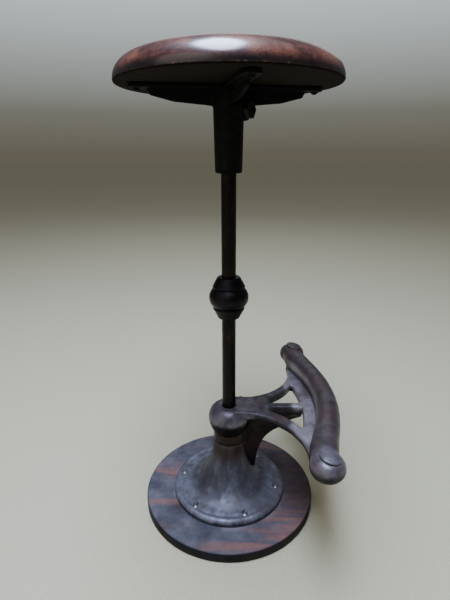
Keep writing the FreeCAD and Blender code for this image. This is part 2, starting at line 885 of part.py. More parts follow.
def bulb_radius_at_pin():
    """How far the bulb's lower tier reaches at the pin's lower side, where the pin's end is flush."""
    low = D["bulb_half_height"]
    high = D["bulb_bead_half_height"] + D["bulb_tier_step"]
    run = D["bulb_tier_radius"] - D["bulb_end_radius"]
    rise = low - high
    chord = root(square(run) + square(rise))
    inset = root(square(D["bulb_tier_bend"]) - square(chord) / 4)
    arc_centre = (D["bulb_tier_radius"] + D["bulb_end_radius"]) / 2 - inset * rise / chord
    arc_drop = (low + high) / 2 - inset * run / chord
    pin_drop = D["bulb_pin_offset"] + D["bulb_pin_diameter"] / 2
    return arc_centre + root(square(D["bulb_tier_bend"]) - square(pin_drop - arc_drop))


def make_bulb():
    """A beehive knop: a wide middle bead, a groove each side of it, and a tier above and below."""
    body = new_body("bulb")
    sketch = new_sketch(body, "bulb_profile", "XZ_Plane")
    centre = D["bulb_centre_height"]
    inner = post_radius + D["fixed_clearance"]
    bead = D["bulb_bead_half_height"]
    swell = D["bulb_bead_radius"] - D["bulb_groove_radius"]
    bead_radius = (square(bead) + square(swell)) / (swell * 2)
    step = D["bulb_tier_step"]
    tier_bend = D["bulb_tier_bend"]
    outline(
        sketch,
        [
            (inner, centre - D["bulb_half_height"]),
            (D["bulb_end_radius"], centre - D["bulb_half_height"]),
            (D["bulb_tier_radius"], centre - bead - step, tier_bend),
            (D["bulb_groove_radius"], centre - bead),
            (D["bulb_groove_radius"], centre + bead, bead_radius),
            (D["bulb_tier_radius"], centre + bead + step),
            (D["bulb_end_radius"], centre + D["bulb_half_height"], tier_bend),
            (inner, centre + D["bulb_half_height"]),
        ],
    )
    turned(body, "bulb_turning", sketch)
    sketch = new_sketch(body, "bulb_pin_circle", "YZ_Plane")
    circle(sketch, (0, bulb_pin_height), D["bulb_pin_diameter"] / 2 + D["fixed_clearance"])
    cut_through(body, "bulb_pin_bore", sketch)
    return body


def make_pivot_ball():
    ball = doc.addObject("Part::Sphere", "pivot_ball")
    ball.Label = "pivot_ball"
    bind(ball, "Radius", ball_radius)
    place(ball, (0, 0, ball_height))
    return ball


def make_seat_bracket():
    body = new_body("seat_bracket")
    sketch = new_sketch(body, "socket_profile", "XZ_Plane")
    bottom = D["socket_bottom_height"]
    top = D["seat_bottom_height"]
    outline(
        sketch,
        [
            (0, crown_bottom),
            (bore_radius, crown_bottom),
            (bore_radius, bottom),
            (D["socket_bottom_diameter"] / 2 - D["post_chamfer"], bottom),
            (D["socket_bottom_diameter"] / 2, bottom + D["post_chamfer"]),
            (D["socket_top_diameter"] / 2, top),
            (0, top),
        ],
    )
    turned(body, "socket", sketch)
    sketch = new_sketch(body, "arm_tab", "XY_Plane", lift=tab_bottom)
    half = D["tab_width"] / 2
    outline(
        sketch,
        [
            (bore_radius, -half),
            (D["tab_reach"] - half, -half),
            (D["tab_reach"], 0, half),
            (D["tab_reach"] - half, half, half),
            (bore_radius, half),
        ],
    )
    tab = pad(body, "tab", sketch, D["tab_thickness"])
    sketch = new_sketch(body, "arm_web", "XZ_Plane")
    step_radius = D["arm_web_end_radius"]
    outline(
        sketch,
        [
            (bore_radius + D["casting_overlap"], top - D["tab_thickness"] / 2),
            (bore_radius + D["casting_overlap"], top - D["arm_web_root_depth"]),
            (D["socket_top_diameter"] / 2, top - D["arm_web_root_depth"]),
            (D["arm_web_middle"], top - D["arm_web_middle_depth"]),
            (D["arm_web_step"], top - D["arm_web_step_depth"]),
            (D["arm_web_end"], tab_bottom, -step_radius),
            (D["arm_web_end"], top - D["tab_thickness"] / 2),
        ],
    )
    web = pad(body, "web", sketch, D["arm_web_thickness"], both_ways=True)
    sketch = new_sketch(body, "seat_screw_hole_circle", "XY_Plane", lift=tab_bottom)
    circle(sketch, (D["seat_screw_reach"], 0), seat_shank_radius + D["fixed_clearance"])
    hole = cut_through(body, "seat_screw_hole", sketch)
    around(body, "arms", [tab, web, hole], D["bracket_arm_count"])
    sketch = new_sketch(body, "boss_circle", "YZ_Plane", turn=-D["boss_turn"])
    circle(sketch, (0, screw_axis_height), D["boss_diameter"] / 2)
    pad(body, "boss", sketch, D["boss_reach"])
    sketch = new_sketch(body, "socket_bore_circle", "XY_Plane", lift=bottom)
    circle(sketch, (0, 0), bore_radius)
    feature(
        body,
        "Pocket",
        "socket_bore",
        sketch,
        Length=crown_bottom - bottom,
        Reversed=True,
    )
    sketch = new_sketch(body, "retaining_hole_circle", "YZ_Plane", turn=-D["boss_turn"])
    circle(sketch, (0, screw_axis_height), retaining_radius + D["fixed_clearance"])
    feature(
        body,
        "Pocket",
        "retaining_hole",
        sketch,
        Length=D["boss_reach"] + D["cut_allowance"],
        Reversed=True,
    )
    place(body, angle=D["bracket_turn"])
    return body


def make_retaining_screw():
    body = new_body("retaining_screw")
    tip_start = post_radius - D["retaining_groove_depth"] + D["groove_clearance"]
    shank_start = bore_radius + D["groove_clearance"]
    sketch = new_sketch(body, "retaining_tip_circle", "YZ_Plane", lift=tip_start)
    circle(sketch, (0, screw_axis_height), D["retaining_screw_tip"] / 2)
    pad(body, "retaining_tip", sketch, shank_start - tip_start)
    sketch = new_sketch(body, "retaining_shank_circle", "YZ_Plane", lift=shank_start)
    circle(sketch, (0, screw_axis_height), retaining_radius)
    pad(body, "retaining_shank", sketch, retaining_screw_end - shank_start)
    sketch = new_sketch(body, "retaining_slot", "XZ_Plane")
    slot_low = screw_axis_height - D["slot_width"] / 2
    slot_high = screw_axis_height + D["slot_width"] / 2
    slot_floor = retaining_screw_end - D["slot_depth"]
    slot_end = retaining_screw_end + D["cut_allowance"]
    outline(
        sketch,
        [(slot_floor, slot_low), (slot_end, slot_low), (slot_end, slot_high), (slot_floor, slot_high)],
    )
    cut_through(body, "screwdriver_slot", sketch)
    place(body, angle=screw_turn)
    return body


def make_lock_nut():
    body = new_body("lock_nut")
    sketch = new_sketch(body, "lock_nut_outline", "YZ_Plane", lift=nut_start)
    corner = D["lock_nut_flats"] / math.sqrt(3)
    corners = []
    for step in range(6):
        turn = math.radians(60 * step)
        corners.append((corner * math.cos(turn), screw_axis_height + corner * math.sin(turn)))
    outline(sketch, corners)
    circle(sketch, (0, screw_axis_height), retaining_radius + D["fixed_clearance"])
    pad(body, "lock_nut_hexagon", sketch, D["lock_nut_thickness"])
    place(body, angle=screw_turn)
    return body


def make_seat_screws():
    body = new_body("seat_screws")
    sketch = new_sketch(body, "seat_screw_profile", "XZ_Plane")
    axis = D["seat_screw_reach"]
    head_low = tab_bottom - D["seat_screw_head_height"]
    head_radius = (square(seat_head_radius) + square(D["seat_screw_head_height"])) / (
        D["seat_screw_head_height"] * 2
    )
    outline(
        sketch,
        [
            (axis, head_low),
            (axis + seat_head_radius, tab_bottom, head_radius),
            (axis + seat_shank_radius, tab_bottom),
            (axis + seat_shank_radius, seat_screw_tip - D["seat_screw_shank"]),
            (axis, seat_screw_tip),
        ],
    )
    upright_axis(sketch, axis, seat_screw_tip)
    screw = turned(body, "seat_screw", sketch, "Axis0")
    around(body, "seat_screw_ring", [screw], D["bracket_arm_count"])
    place(body, angle=D["bracket_turn"])
    return body


def make_seat_board():
    body = new_body("seat_board")
    sketch = new_sketch(body, "seat_profile", "XZ_Plane")
    radius = D["seat_diameter"] / 2
    bottom = D["seat_bottom_height"]
    top = bottom + D["seat_thickness"]
    lower_edge = D["seat_lower_edge_radius"]
    rise = D["seat_dome_rise"]
    flat = radius - D["seat_flat_inset"]
    dome_radius = (square(flat) + square(rise)) / (rise * 2)
    outline(
        sketch,
        [
            (0, bottom),
            (radius - lower_edge, bottom),
            (radius, bottom + lower_edge, lower_edge),
            (radius, bottom + D["seat_edge_height"]),
            (
                radius - D["seat_shoulder_inset"],
                bottom + D["seat_shoulder_height"],
                D["seat_shoulder_radius"],
            ),
            (
                radius - D["seat_crown_inset"],
                bottom + D["seat_crown_height"],
                D["seat_crown_radius"],
            ),
            (flat, top - rise, D["seat_flat_radius"]),
            (0, top, dome_radius),
        ],
    )
    turned(body, "seat_disc", sketch)
    sketch = new_sketch(body, "seat_pilot_circle", "XY_Plane", lift=bottom)
    circle(sketch, (D["seat_screw_reach"], 0), seat_shank_radius + D["fixed_clearance"])
    hole = feature(
        body,
        "Pocket",
        "seat_pilot_hole",
        sketch,
        Length=D["seat_screw_depth"] + D["fixed_clearance"],
        Reversed=True,
    )
    around(body, "seat_pilot_holes", [hole], D["bracket_arm_count"])
    place(body, angle=D["bracket_turn"])
    return body


sub_parts = [
    make_base_board(),
    make_pedestal(),
    make_flange_screws(),
    make_thrust_washer(),
    make_foot_rest(),
    make_button("foot_rest_button_near", -1),
    make_button("foot_rest_button_far", 1),
    make_clamp_pad(),
    make_hub_screw(),
    make_post(),
    make_pin("stop_pin", stop_pin_height, D["stop_pin_diameter"], D["stop_pin_length"]),
    make_bulb(),
    make_pin("bulb_pin", bulb_pin_height, D["bulb_pin_diameter"], bulb_radius_at_pin() * 2),
    make_pivot_ball(),
    make_seat_bracket(),
    make_retaining_screw(),
    make_lock_nut(),
    make_seat_screws(),
    make_seat_board(),
]

doc.recompute()
for item in doc.Objects:
    failed = [state for state in item.State if state in ("Invalid", "Error")]
    if failed:
        raise RuntimeError(f"{item.Name} failed: {item.State}")
for item in sub_parts:
    if item.Shape.isNull() or not item.Shape.isValid() or not item.Shape.Solids:
        raise RuntimeError(f"{item.Label} has no valid solid")

os.makedirs("parts", exist_ok=True)
for item in sub_parts:
    item.Shape.exportStep(f"parts/{item.Label}.step")
    box = item.Shape.BoundBox
    print(
        item.Label,
        f"{len(item.Shape.Solids)} solids, volume {item.Shape.Volume:.0f},",
        f"z {box.ZMin:.1f} to {box.ZMax:.1f}, x {box.XMin:.1f} to {box.XMax:.1f}",
    )
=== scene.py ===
import bpy
import math
from mathutils import Matrix, Vector


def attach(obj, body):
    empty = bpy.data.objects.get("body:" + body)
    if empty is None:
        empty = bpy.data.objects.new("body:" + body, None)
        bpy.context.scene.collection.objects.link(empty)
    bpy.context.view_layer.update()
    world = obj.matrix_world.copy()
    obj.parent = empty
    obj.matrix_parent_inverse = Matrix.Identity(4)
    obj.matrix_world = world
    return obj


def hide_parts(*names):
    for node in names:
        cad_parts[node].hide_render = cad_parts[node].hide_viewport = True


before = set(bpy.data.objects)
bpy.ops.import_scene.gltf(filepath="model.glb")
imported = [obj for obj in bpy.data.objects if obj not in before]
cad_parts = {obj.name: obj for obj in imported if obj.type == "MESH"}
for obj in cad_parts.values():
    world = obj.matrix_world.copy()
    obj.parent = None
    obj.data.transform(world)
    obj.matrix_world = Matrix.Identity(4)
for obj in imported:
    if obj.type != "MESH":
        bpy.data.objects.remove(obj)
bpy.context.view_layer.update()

# A workshop stool: cast-iron foot and foot rest, browned steel rod, varnished wooden seat.
# The studio's places and sizes are in metres, those of the stool and of every pattern in millimetres.
mm = 0.001


def linearColour(hexValue):
    parts = [int(hexValue[i:i + 2], 16) / 255 for i in (1, 3, 5)]
    return [c / 12.92 if c <= 0.04045 else ((c + 0.055) / 1.055) ** 2.4 for c in parts] + [1.0]


def connect(tree, node, links):
    # an input takes a node's result, one of its sockets, a hex colour or a plain value
    for name, value in links.items():
        if isinstance(value, bpy.types.Node):
            value = next(socket for socket in value.outputs if socket.enabled)
        if isinstance(value, bpy.types.NodeSocket):
            tree.links.new(value, node.inputs[name])
        else:
            node.inputs[name].default_value = linearColour(value) if isinstance(value, str) else value


def addNode(tree, kind, links=None, stops=None, **settings):
    node = tree.nodes.new(kind)
    for name, value in settings.items():
        setattr(node, name, value)
    if stops:
        ramp = node.color_ramp
        while len(ramp.elements) < len(stops):
            ramp.elements.new(0.5)
        for element, (position, colour) in zip(ramp.elements, stops):
            element.position = position
            element.color = linearColour(colour)
    connect(tree, node, links or {})
    return node


def newMaterial(name):
    material = bpy.data.materials.new(name)
    material.use_nodes = True
    tree = material.node_tree
    tree.nodes.clear()
    coords = addNode(tree, "ShaderNodeTexCoord").outputs["Object"]
    shader = addNode(tree, "ShaderNodeBsdfPrincipled")
    addNode(tree, "ShaderNodeOutputMaterial", {"Surface": shader})
    return material, tree, coords, shader


def grain(size):
    # a noise scale from a real size in millimetres
    return 1 / (size * mm)


def paint(piece, *materials):
    piece.data.materials.clear()
    for material in materials:
        piece.data.materials.append(material)


camera = {
    "lens": 25.77, "sensor": 36, "nearest": 0.02,
    "place": (0, -0.6409, 0.5956), "pitch": 71.083, "yaw": 0.54, "roll": -0.25,
}


def makeCamera():
    bpy.ops.object.camera_add(location=camera["place"])
    eye = bpy.context.object
    eye.name = "stoolCamera"
    eye.data.lens = camera["lens"]
    eye.data.sensor_width = camera["sensor"]
    eye.data.clip_start = camera["nearest"]
    eye.data.dof.use_dof = False
    yaw = Matrix.Rotation(math.radians(camera["yaw"]), 4, "Z")
    pitch = Matrix.Rotation(math.radians(camera["pitch"]), 4, "X")
    roll = Matrix.Rotation(math.radians(camera["roll"]), 4, "Z")
    eye.rotation_euler = (yaw @ pitch @ roll).to_euler("XYZ")
    bpy.context.scene.camera = eye


bpy.ops.object.select_all(action="DESELECT")
makeCamera()
print("camera placed")

studio = {
    "floorSize": 60, "floor": "#D0C9A8", "fibre": "#C5BE9D", "fibreSize": 3, "floorRough": 0.85,
    "wall": [(0.0, "#656155"), (0.08, "#75756C"), (0.17, "#A0A5A3"), (0.28, "#CFD9DB")],
    "fill": "#E0E8F2", "fillStrength": 0.14,
}


def makeFloor():
    # matt paper laid flat, with a faint fibre in it
    bpy.ops.mesh.primitive_plane_add(size=studio["floorSize"], location=(0, 0, 0))
    floor = bpy.context.object
    floor.name = "studioFloor"
    material, tree, coords, shader = newMaterial("mattFloorPaper")
    fibre = addNode(tree, "ShaderNodeTexNoise", {
        "Vector": coords, "Scale": grain(studio["fibreSize"]), "Detail": 2.0})
    tone = addNode(tree, "ShaderNodeValToRGB", {"Fac": fibre}, stops=[
        (0.3, studio["fibre"]), (0.6, studio["floor"])])
    connect(tree, shader, {"Base Color": tone, "Roughness": studio["floorRough"]})
    paint(floor, material)


def makeWorld():
    # the camera sees a plain graded wall, the surfaces a dim sky
    world = bpy.data.worlds.new("studioWorld")
    bpy.context.scene.world = world
    world.use_nodes = True
    tree = world.node_tree
    tree.nodes.clear()
    way = addNode(tree, "ShaderNodeTexCoord").outputs["Generated"]
    height = addNode(tree, "ShaderNodeSeparateXYZ", {"Vector": way}).outputs["Z"]
    wall = addNode(tree, "ShaderNodeValToRGB", {"Fac": height}, stops=studio["wall"])
    seen = addNode(tree, "ShaderNodeBackground", {"Color": wall, "Strength": 1.0})
    fill = addNode(tree, "ShaderNodeBackground", {
        "Color": studio["fill"], "Strength": studio["fillStrength"]})
    path = addNode(tree, "ShaderNodeLightPath")
    both = addNode(tree, "ShaderNodeMixShader", {0: path.outputs["Is Camera Ray"], 1: fill, 2: seen})
    addNode(tree, "ShaderNodeOutputWorld", {"Surface": both})


lamps = {
    # place, aim, width, length, watts and colour
    "skyPanel": ((-0.15, -0.4, 2.3), (-0.15, -0.4, 0), 0.8, 2.0, 100, "#CDDCFF"),
    "backPanel": ((0.3, 2.6, 1.9), (0, 0, 0.35), 2.4, 1.2, 4.5, "#F4F4F0"),
    "frontPanel": ((-1.5, -1.7, 1.5), (0, 0, 0.35), 2.2, 2.0, 12, "#FFF4E8"),
}
softSun = {"strength": 0.3, "spread": 70, "colour": "#FFFDF4", "height": 3}


def makeLamps():
    for name, (place, aim, width, length, watts, colour) in lamps.items():
        bpy.ops.object.light_add(type="AREA", location=place)
        lamp = bpy.context.object
        lamp.name = name
        lamp.data.shape = "ELLIPSE"
        lamp.data.size = width
        lamp.data.size_y = length
        lamp.data.energy = watts
        lamp.data.color = linearColour(colour)[:3]
        lamp.rotation_euler = (Vector(place) - Vector(aim)).to_track_quat("Z", "Y").to_euler()
    bpy.ops.object.light_add(type="SUN", location=(0, 0, softSun["height"]))
    sun = bpy.context.object
    sun.name = "softSun"
    sun.data.energy = softSun["strength"]
    sun.data.angle = math.radians(softSun["spread"])
    sun.data.color = linearColour(softSun["colour"])[:3]


makeFloor()
makeWorld()
makeLamps()
print("floor and lamps placed")


def startFresh():
    if bpy.context.object and bpy.context.object.mode != "OBJECT":
        bpy.ops.object.mode_set(mode="OBJECT")
    bpy.ops.object.select_all(action="DESELECT")


def applied(piece, kind, **settings):
    modifier = piece.modifiers.new(kind.lower(), kind)
    for name, value in settings.items():
        setattr(modifier, name, value)
    bpy.context.view_layer.objects.active = piece
    bpy.ops.object.modifier_apply(modifier=modifier.name)


def joined(pieces):
    startFresh()
    for piece in pieces:
        piece.select_set(True)
    bpy.context.view_layer.objects.active = pieces[0]
    bpy.ops.object.join()
    return pieces[0]


def smoothed(piece, angle):
    startFresh()
    piece.select_set(True)
    bpy.context.view_layer.objects.active = piece
    bpy.ops.object.shade_smooth_by_angle(angle=math.radians(angle))


def turnedPiece(name, outline, steps):
    # a single vertex is drawn out along the outline, then spun about the upright axis
    startFresh()
    bpy.ops.mesh.primitive_circle_add(vertices=3, radius=mm)
    piece = bpy.context.object
    piece.name = name
    bpy.ops.object.mode_set(mode="EDIT")
    bpy.ops.mesh.select_all(action="SELECT")
    bpy.ops.mesh.merge(type="CENTER")
    last = Vector((outline[0][0] * mm, 0, outline[0][1] * mm))
    bpy.ops.transform.translate(value=last)
    for radius, height in outline[1:]:
        spot = Vector((radius * mm, 0, height * mm))
        bpy.ops.mesh.extrude_region_move(TRANSFORM_OT_translate={"value": spot - last})
        last = spot
    bpy.ops.mesh.select_all(action="SELECT")
    bpy.ops.mesh.spin(steps=steps, angle=2 * math.pi, center=(0, 0, 0), axis=(0, 0, 1))
    bpy.ops.mesh.select_all(action="SELECT")
    bpy.ops.mesh.remove_doubles(threshold=0.01 * mm)
    bpy.ops.mesh.normals_make_consistent(inside=False)
    bpy.ops.object.mode_set(mode="OBJECT")
    return piece


def bend(start, end, radius, steps):
    # the points of an arc that follow its start, as far as its end: it curves to the left of the way there,
    # or with a negative radius to the right
    a, b = Vector(start), Vector(end)
    chord = b - a
    side = Vector((-chord.y, chord.x)).normalized()
    reach = math.sqrt(radius * radius - (chord.length / 2) ** 2)
    centre = (a + b) / 2 + side * (reach if radius > 0 else -reach)
    first = math.atan2(a.y - centre.y, a.x - centre.x)
    sweep = 2 * math.asin(chord.length / 2 / abs(radius)) * (1 if radius > 0 else -1)
    points = []
    for step in range(1, steps + 1):
        angle = first + sweep * step / steps
        points.append((centre.x + abs(radius) * math.cos(angle), centre.y + abs(radius) * math.sin(angle)))
    return points


def crownBend(half, rise):
    # the radius of an arc that rises so much over this half of its width
    return (half * half + rise * rise) / (2 * rise)


def copyOfCad(name, node):
    # a copy of a carried-over part with its loose triangles merged, to be refined
    startFresh()
    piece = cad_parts[node].copy()
    piece.data = piece.data.copy()
    piece.name = name
    piece.parent = None
    for key in list(piece.keys()):
        del piece[key]
    bpy.context.scene.collection.objects.link(piece)
    piece.select_set(True)
    bpy.context.view_layer.objects.active = piece
    bpy.ops.object.mode_set(mode="EDIT")
    bpy.ops.mesh.select_all(action="SELECT")
    bpy.ops.mesh.remove_doubles(threshold=0.002 * mm)
    bpy.ops.object.mode_set(mode="OBJECT")
    return piece


def remeshed(piece, voxel):
    applied(piece, "REMESH", mode="VOXEL", voxel_size=voxel * mm, adaptivity=0)


def eased(piece, rounds, **settings):
    # a casting's corners, rounder with each round of smoothing
    applied(piece, "SMOOTH", factor=0.6, iterations=rounds, **settings)


def rough(piece, size, strength):
    # the slight unevenness of a casting or of worn wood, as a displaced surface
    cloud = bpy.data.textures.new(piece.name + "Unevenness", "CLOUDS")
    cloud.noise_scale = size * mm
    cloud.noise_depth = 2
    applied(piece, "DISPLACE", texture=cloud, strength=strength * mm, mid_level=0.5, texture_coords="LOCAL")


def standsFor(piece, body, node):
    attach(piece, body)
    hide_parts(node)


# the arc that the bar of the foot rest follows, and the centre of that arc
barArc = {"radius": 304, "reach": 162.5}
barCentre = ((barArc["reach"] - barArc["radius"]) * mm, 0, 0)

castings = {
    # sizes in mm: patch is a stain, mottle a cloud of wear, which drawn stretches where it is under 1,
    # and grit the sand of the mould
    # a zone has its strength, its deep and light tones, and where along each axis it begins and is full:
    # R is the distance from the centre of the bar's arc, N how far a face looks up, from -100 to 100
    "bell": {
        "dark": "#37373D", "iron": "#504F58", "light": "#70717D", "stain": "#4A403D", "stainShare": 0.5,
        "worn": "#9A9FAF", "cornerGrimeShade": "#131112", "patch": 55, "mottle": 15, "grit": 1.6,
        "rough": (0.42, 0.58), "metal": 0.42, "specular": 0.5, "drawn": (1, 1, 0.2),
        "zones": [
            # the flange is lighter with dust and partly as painted light from above; the flare higher up is
            # darker, partly painted shade
            (0.65, "#66666E", "#989AA9", ("Z", 38, 31)),
            (0.5, "#28282D", "#43444C", ("Z", 44, 64)),
            (0.9, "#241916", "#43342E", ("Z", 74, 106)),
            # painted shade on the flange's outer side, which looks sideways, below its bead
            (0.8, "#141214", "#28272C", ("Z", 26, 21)),
        ],
    },
    "rest": {
        "dark": "#2B292E", "iron": "#47454C", "light": "#615F68", "stain": "#5E4444", "stainShare": 0.6,
        "worn": "#8E8F9D", "cornerGrimeShade": "#110D0F", "patch": 42, "mottle": 17, "grit": 1.5,
        "rough": (0.33, 0.48), "metal": 0.42, "specular": 0.5, "drawn": (1, 1, 1),
        "zones": [
            (0.9, "#978F95", "#C6C1CA", ("R", 243, 256)),
            (0.9, "#2E2627", "#5A4E4F", ("R", 282, 289)),
            (0.7, "#5A555B", "#8E8A95", ("Y", -148, -156)),
            # painted shade: on the arms, bar and ball, faces that look sideways and then those that look down
            # are darker
            (0.9, "#0D0B0F", "#211F26", ("N", 45, -8), ("X", 30, 50)),
            (0.8, "#050406", "#131116", ("N", 5, -45), ("X", 60, 75)),
            (0.85, "#7C757B", "#ACA6B0",
             ("R", 252, 262), ("R", 289, 282), ("Z", 178, 184), ("Y", -154, -142)),
            (0.9, "#433D42", "#706A73", ("X", 46, 36), ("Z", 160, 168)),
            # below the hub cap everything is near black: rust-brown, with painted shade under the cap and the
            # arms
            (1.0, "#0A0706", "#1B1512", ("Z", 166, 158)),
            (0.8, "#241A17", "#3D2F2A", ("Z", 141, 136), ("X", 32, 27)),
        ],
    },
    "socket": {
        "dark": "#060606", "iron": "#0A0A0A", "light": "#101012", "stain": "#0D0A08", "stainShare": 0.4,
        "worn": "#1A1A1C", "cornerGrimeShade": "#020202", "patch": 40, "mottle": 9, "grit": 1.3,
        "rough": (0.5, 0.7), "metal": 0.0, "specular": 0.3, "drawn": (1, 1, 1), "zones": [],
    },
}
zoneWander = 10  # mm that the edge of a zone may wander with the mottle


def agedCastIron(name, look):
    # sand-cast iron: its black finish has rubbed to a satin blue-grey on what is handled,
    # stays rust-brown in the sheltered zones, holds dark grime and painted shade in its corners,
    # and is painted darker as shade where it looks sideways or down
    material, tree, coords, shader = newMaterial(name)
    surface = addNode(tree, "ShaderNodeNewGeometry").outputs
    facing = addNode(tree, "ShaderNodeSeparateXYZ", {"Vector": surface["Normal"]}).outputs["Z"]
    place = addNode(tree, "ShaderNodeSeparateXYZ", {"Vector": coords}).outputs
    flat = addNode(tree, "ShaderNodeVectorMath", {0: coords, 1: (1, 1, 0)}, operation="MULTIPLY")
    measures = {
        "X": place["X"], "Y": place["Y"], "Z": place["Z"],
        "R": addNode(tree, "ShaderNodeVectorMath", {0: flat, 1: barCentre}, operation="DISTANCE"),
        "N": addNode(tree, "ShaderNodeMath", {0: facing, 1: 100 * mm}, operation="MULTIPLY"),
    }
    patches = addNode(tree, "ShaderNodeTexNoise", {
        "Vector": coords, "Scale": grain(look["patch"]), "Detail": 5.0, "Roughness": 0.6})
    drawn = addNode(tree, "ShaderNodeVectorMath", {0: coords, 1: look["drawn"]}, operation="MULTIPLY")
    mottle = addNode(tree, "ShaderNodeTexNoise", {
        "Vector": drawn, "Scale": grain(look["mottle"]), "Detail": 7.0, "Roughness": 0.62})
    grit = addNode(tree, "ShaderNodeTexNoise", {
        "Vector": coords, "Scale": grain(look["grit"]), "Detail": 3.0, "Roughness": 0.6})
    colour = addNode(tree, "ShaderNodeValToRGB", {"Fac": mottle}, stops=[
        (0.3, look["dark"]), (0.5, look["iron"]), (0.7, look["light"])])
    crest = surface["Pointiness"]
    rubbed = addNode(tree, "ShaderNodeMapRange", {
        "Value": crest, "From Min": 0.515, "From Max": 0.57, "To Max": 0.6}, interpolation_type="SMOOTHSTEP")
    colour = addNode(tree, "ShaderNodeMix", {0: rubbed, 6: colour, 7: look["worn"]}, data_type="RGBA")
    for strength, deepTone, lightTone, *bounds in look["zones"]:
        zone = strength
        for axis, start, end in bounds:
            ragged = addNode(tree, "ShaderNodeMath", {
                0: mottle, 1: zoneWander * mm, 2: measures[axis]}, operation="MULTIPLY_ADD")
            share = addNode(tree, "ShaderNodeMapRange", {
                "Value": ragged, "From Min": (start + zoneWander / 2) * mm,
                "From Max": (end + zoneWander / 2) * mm}, interpolation_type="SMOOTHSTEP")
            zone = addNode(tree, "ShaderNodeMath", {0: share, 1: zone}, operation="MULTIPLY")
        tone = addNode(tree, "ShaderNodeValToRGB", {"Fac": mottle}, stops=[
            (0.32, deepTone), (0.68, lightTone)])
        colour = addNode(tree, "ShaderNodeMix", {0: zone, 6: colour, 7: tone}, data_type="RGBA")
    stained = addNode(tree, "ShaderNodeMapRange", {
        "Value": patches, "From Min": 0.46, "From Max": 0.62, "To Max": look["stainShare"]},
        interpolation_type="SMOOTHSTEP")
    # the rust stain lies mostly on what looks up, which also keeps the painted shade dark on what looks down
    above = addNode(tree, "ShaderNodeMapRange", {
        "Value": facing, "From Min": 0.0, "From Max": 0.5, "To Min": 0.2})
    stained = addNode(tree, "ShaderNodeMath", {0: stained, 1: above}, operation="MULTIPLY")
    colour = addNode(tree, "ShaderNodeMix", {0: stained, 6: colour, 7: look["stain"]}, data_type="RGBA")
    # the hollow corners, found by their pointiness, darken with grime and painted shade
    corner = addNode(tree, "ShaderNodeMapRange", {
        "Value": crest, "From Min": 0.49, "From Max": 0.43, "To Max": 0.7}, interpolation_type="SMOOTHSTEP")
    colour = addNode(tree, "ShaderNodeMix", {0: corner, 6: colour, 7: look["cornerGrimeShade"]}, data_type="RGBA")
    speck = addNode(tree, "ShaderNodeMapRange", {
        "Value": grit, "From Min": 0.6, "From Max": 0.74, "To Max": 0.35}, interpolation_type="SMOOTHSTEP")
    colour = addNode(tree, "ShaderNodeMix", {0: speck, 6: colour, 7: look["dark"]}, data_type="RGBA")
    # what faces down keeps dull dirt
    shine = addNode(tree, "ShaderNodeMapRange", {
        "Value": facing, "From Min": -0.2, "From Max": 0.4, "To Min": look["specular"] * 0.2,
        "To Max": look["specular"]})
    shiny, dull = look["rough"]
    sheen = addNode(tree, "ShaderNodeMapRange", {
        "Value": mottle, "From Min": 0.35, "From Max": 0.65, "To Min": dull, "To Max": shiny})
    fine = addNode(tree, "ShaderNodeBump", {"Height": grit, "Strength": 0.25, "Distance": 0.2 * mm})
    coarse = addNode(tree, "ShaderNodeBump", {
        "Height": mottle, "Strength": 0.3, "Distance": 0.6 * mm, "Normal": fine})
    connect(tree, shader, {
        "Base Color": colour, "Roughness": sheen, "Metallic": look["metal"], "Normal": coarse,
        "Specular IOR Level": shine})
    return material


barSteel = {
    "rod": {
        "dark": "#060404", "mid": "#0F0A09", "rust": "#331B15",
        "patch": 26, "pit": 1.4, "rough": 0.4, "metal": 0.4, "specular": 0.25,
    },
    "bulb": {
        "dark": "#080606", "mid": "#110D0E", "rust": "#211716",
        "patch": 14, "pit": 1.4, "rough": 0.38, "metal": 0.4, "specular": 0.25,
    },
    "screw": {
        "dark": "#57575B", "mid": "#9A9BA1", "rust": "#7A6B62",
        "patch": 4, "pit": 1.4, "rough": 0.34, "metal": 0.9, "specular": 0.5,
    },
}


def brownedSteel(name, look):
    # drawn or turned steel under a brown skin of age: dark scale, faint red rust, fine pits, a soft shine;
    # on the screws it is rubbed back to bright grey
    material, tree, coords, shader = newMaterial(name)
    patches = addNode(tree, "ShaderNodeTexNoise", {
        "Vector": coords, "Scale": grain(look["patch"]), "Detail": 6.0, "Roughness": 0.68})
    pits = addNode(tree, "ShaderNodeTexNoise", {"Vector": coords, "Scale": grain(look["pit"]), "Detail": 3.0})
    colour = addNode(tree, "ShaderNodeValToRGB", {"Fac": patches}, stops=[
        (0.34, look["dark"]), (0.52, look["mid"]), (0.72, look["rust"])])
    sheen = addNode(tree, "ShaderNodeMapRange", {
        "Value": patches, "From Min": 0.3, "From Max": 0.7,
        "To Min": look["rough"] - 0.06, "To Max": look["rough"] + 0.16})
    bump = addNode(tree, "ShaderNodeBump", {"Height": pits, "Strength": 0.3, "Distance": 0.15 * mm})
    connect(tree, shader, {
        "Base Color": colour, "Roughness": sheen, "Metallic": look["metal"], "Normal": bump,
        "Specular IOR Level": look["specular"]})
    return material


cleanMetals = {
    "brass": {"bright": "#5A4426", "tarnish": "#2A1E14", "rough": 0.5, "patch": 5},
    "ball": {"bright": "#B5B5B8", "tarnish": "#77706A", "rough": 0.18, "patch": 6},
}


def turnedMetal(name, look):
    # turned brass that tarnish has dulled to brown, or a ground steel ball, bright under a film of grease
    material, tree, coords, shader = newMaterial(name)
    film = addNode(tree, "ShaderNodeTexNoise", {
        "Vector": coords, "Scale": grain(look["patch"]), "Detail": 5.0})
    colour = addNode(tree, "ShaderNodeValToRGB", {"Fac": film}, stops=[
        (0.35, look["tarnish"]), (0.65, look["bright"])])
    sheen = addNode(tree, "ShaderNodeMapRange", {
        "Value": film, "To Min": look["rough"] + 0.15, "To Max": look["rough"]})
    connect(tree, shader, {"Base Color": colour, "Roughness": sheen, "Metallic": 1.0})
    return material


